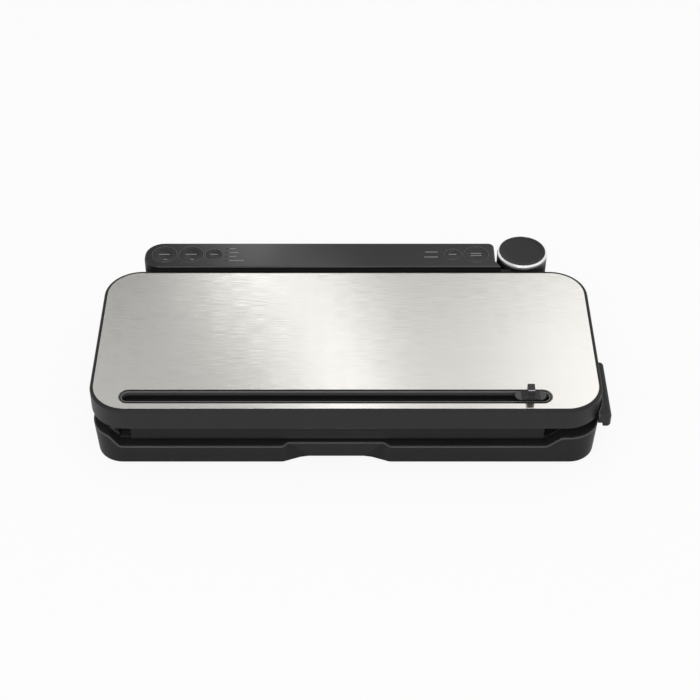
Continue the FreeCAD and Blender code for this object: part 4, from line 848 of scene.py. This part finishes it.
def floor():
    """A wide pale sheet that keeps the shadow; seen directly or in a reflection it is nearly white."""
    rings = turned_rings([[FLOOR_RADIUS, -FLOOR_THICK], [FLOOR_RADIUS, 0.0]], (0.0, 0.0), 64)
    made = Finish("floor", Base_Color=grey(0.97), Roughness=0.9, Specular_IOR_Level=0.0)
    camera_ray, glossy_ray, through_ray = (made.node("LightPath", output=ray) for ray in RAYS_SEEN)
    seen = made.maths("MINIMUM", camera_ray + glossy_ray + through_ray, 1.0)
    glow = made.node("Emission", {}, {"Color": grey(1.0), "Strength": 1.0})
    sheet_look = Socket(made, made.shader.outputs[0])
    mixed = made.node("MixShader", {}, {0: seen * FLOOR_GLOW, 1: sheet_look, 2: glow})
    made.join(mixed, made.tree.nodes["Material Output"].inputs["Surface"])
    sheet = skin("studio_floor", rings, made, None)


def surround():
    """White seen directly; in reflections broad soft panels behind the object; else an even level."""
    world = bpy.data.worlds.new("studio")
    scene.world = world
    world.use_nodes = True
    made = Finish("studio", world.node_tree)
    way = made.node("TexCoord", output="Generated")
    across = made.part(way, "X")
    height = made.part(way, "Z")
    leaning = across + (LEAN_FROM - height) * PANELS_LEAN
    levels = []
    for place, stops in ((leaning, PLATE_PANELS), (across, CONSOLE_PANELS)):
        settings = {"interpolation": "EASE", "stops": stops}
        levels.append(made.node("ValToRGB", settings, {"Fac": place / PANELS_WIDTH + 0.5}))
    upper, lower = levels
    low_panels = made.blend(made.ramp(height, *CONSOLE_FADE), grey(TABLE_LEVEL), lower)
    panels = made.blend(made.ramp(height, *PLATE_FADE), low_panels, upper)
    camera_ray = made.node("LightPath", output="Is Camera Ray")
    glossy_ray = made.node("LightPath", output="Is Glossy Ray")
    lit = made.blend(glossy_ray, grey(EVEN_LEVEL), panels)
    back = world.node_tree.nodes["Background"]
    made.join(made.blend(camera_ray, lit, grey(1.0)), back.inputs["Color"])
    back.inputs["Strength"].default_value = 1.0


def lamp(name, place, aim, width, height, power):
    """A soft rectangular lamp at a place, facing a point, in metres and watts."""
    data = bpy.data.lights.new(name, "AREA")
    data.shape = "RECTANGLE"
    data.size = width
    data.size_y = height
    data.energy = power
    item = bpy.data.objects.new(name, data)
    scene.collection.objects.link(item)
    away = np.array(place) - np.array(aim)
    spin = math.atan2(away[0], -away[1])
    lift = math.atan2(math.hypot(away[0], away[1]), away[2])
    item.location = place
    item.rotation_euler = (lift, 0.0, spin)


EYE = (-0.0035, -1.0247, 0.9638)
ELEVATION = 42.5
FOCAL_LENGTH = 85.0
SENSOR_WIDTH = 36.0
PICTURE_WIDTH = 700
MIDDLE_SHIFT = 4


def camera():
    """The photograph's view: straight on to the lid, looking down, its middle a few pixels aside."""
    data = bpy.data.cameras.new("view")
    data.lens = FOCAL_LENGTH
    data.sensor_width = SENSOR_WIDTH
    data.shift_x = MIDDLE_SHIFT / PICTURE_WIDTH
    item = bpy.data.objects.new("view", data)
    scene.collection.objects.link(item)
    item.location = EYE
    item.rotation_euler = (math.radians(90.0 - ELEVATION), 0.0, 0.0)
    scene.camera = item


floor()
surround()
lamp("overhead", (0.2, 0.1, 1.9), (0.0, 0.0, 0.0), 1.6, 1.2, 6.0)
lamp("front", (-0.35, -1.75, 1.5), (0.0, -0.05, 0.03), 0.8, 0.6, 9.0)
camera()
scene.view_settings.view_transform = "Standard"
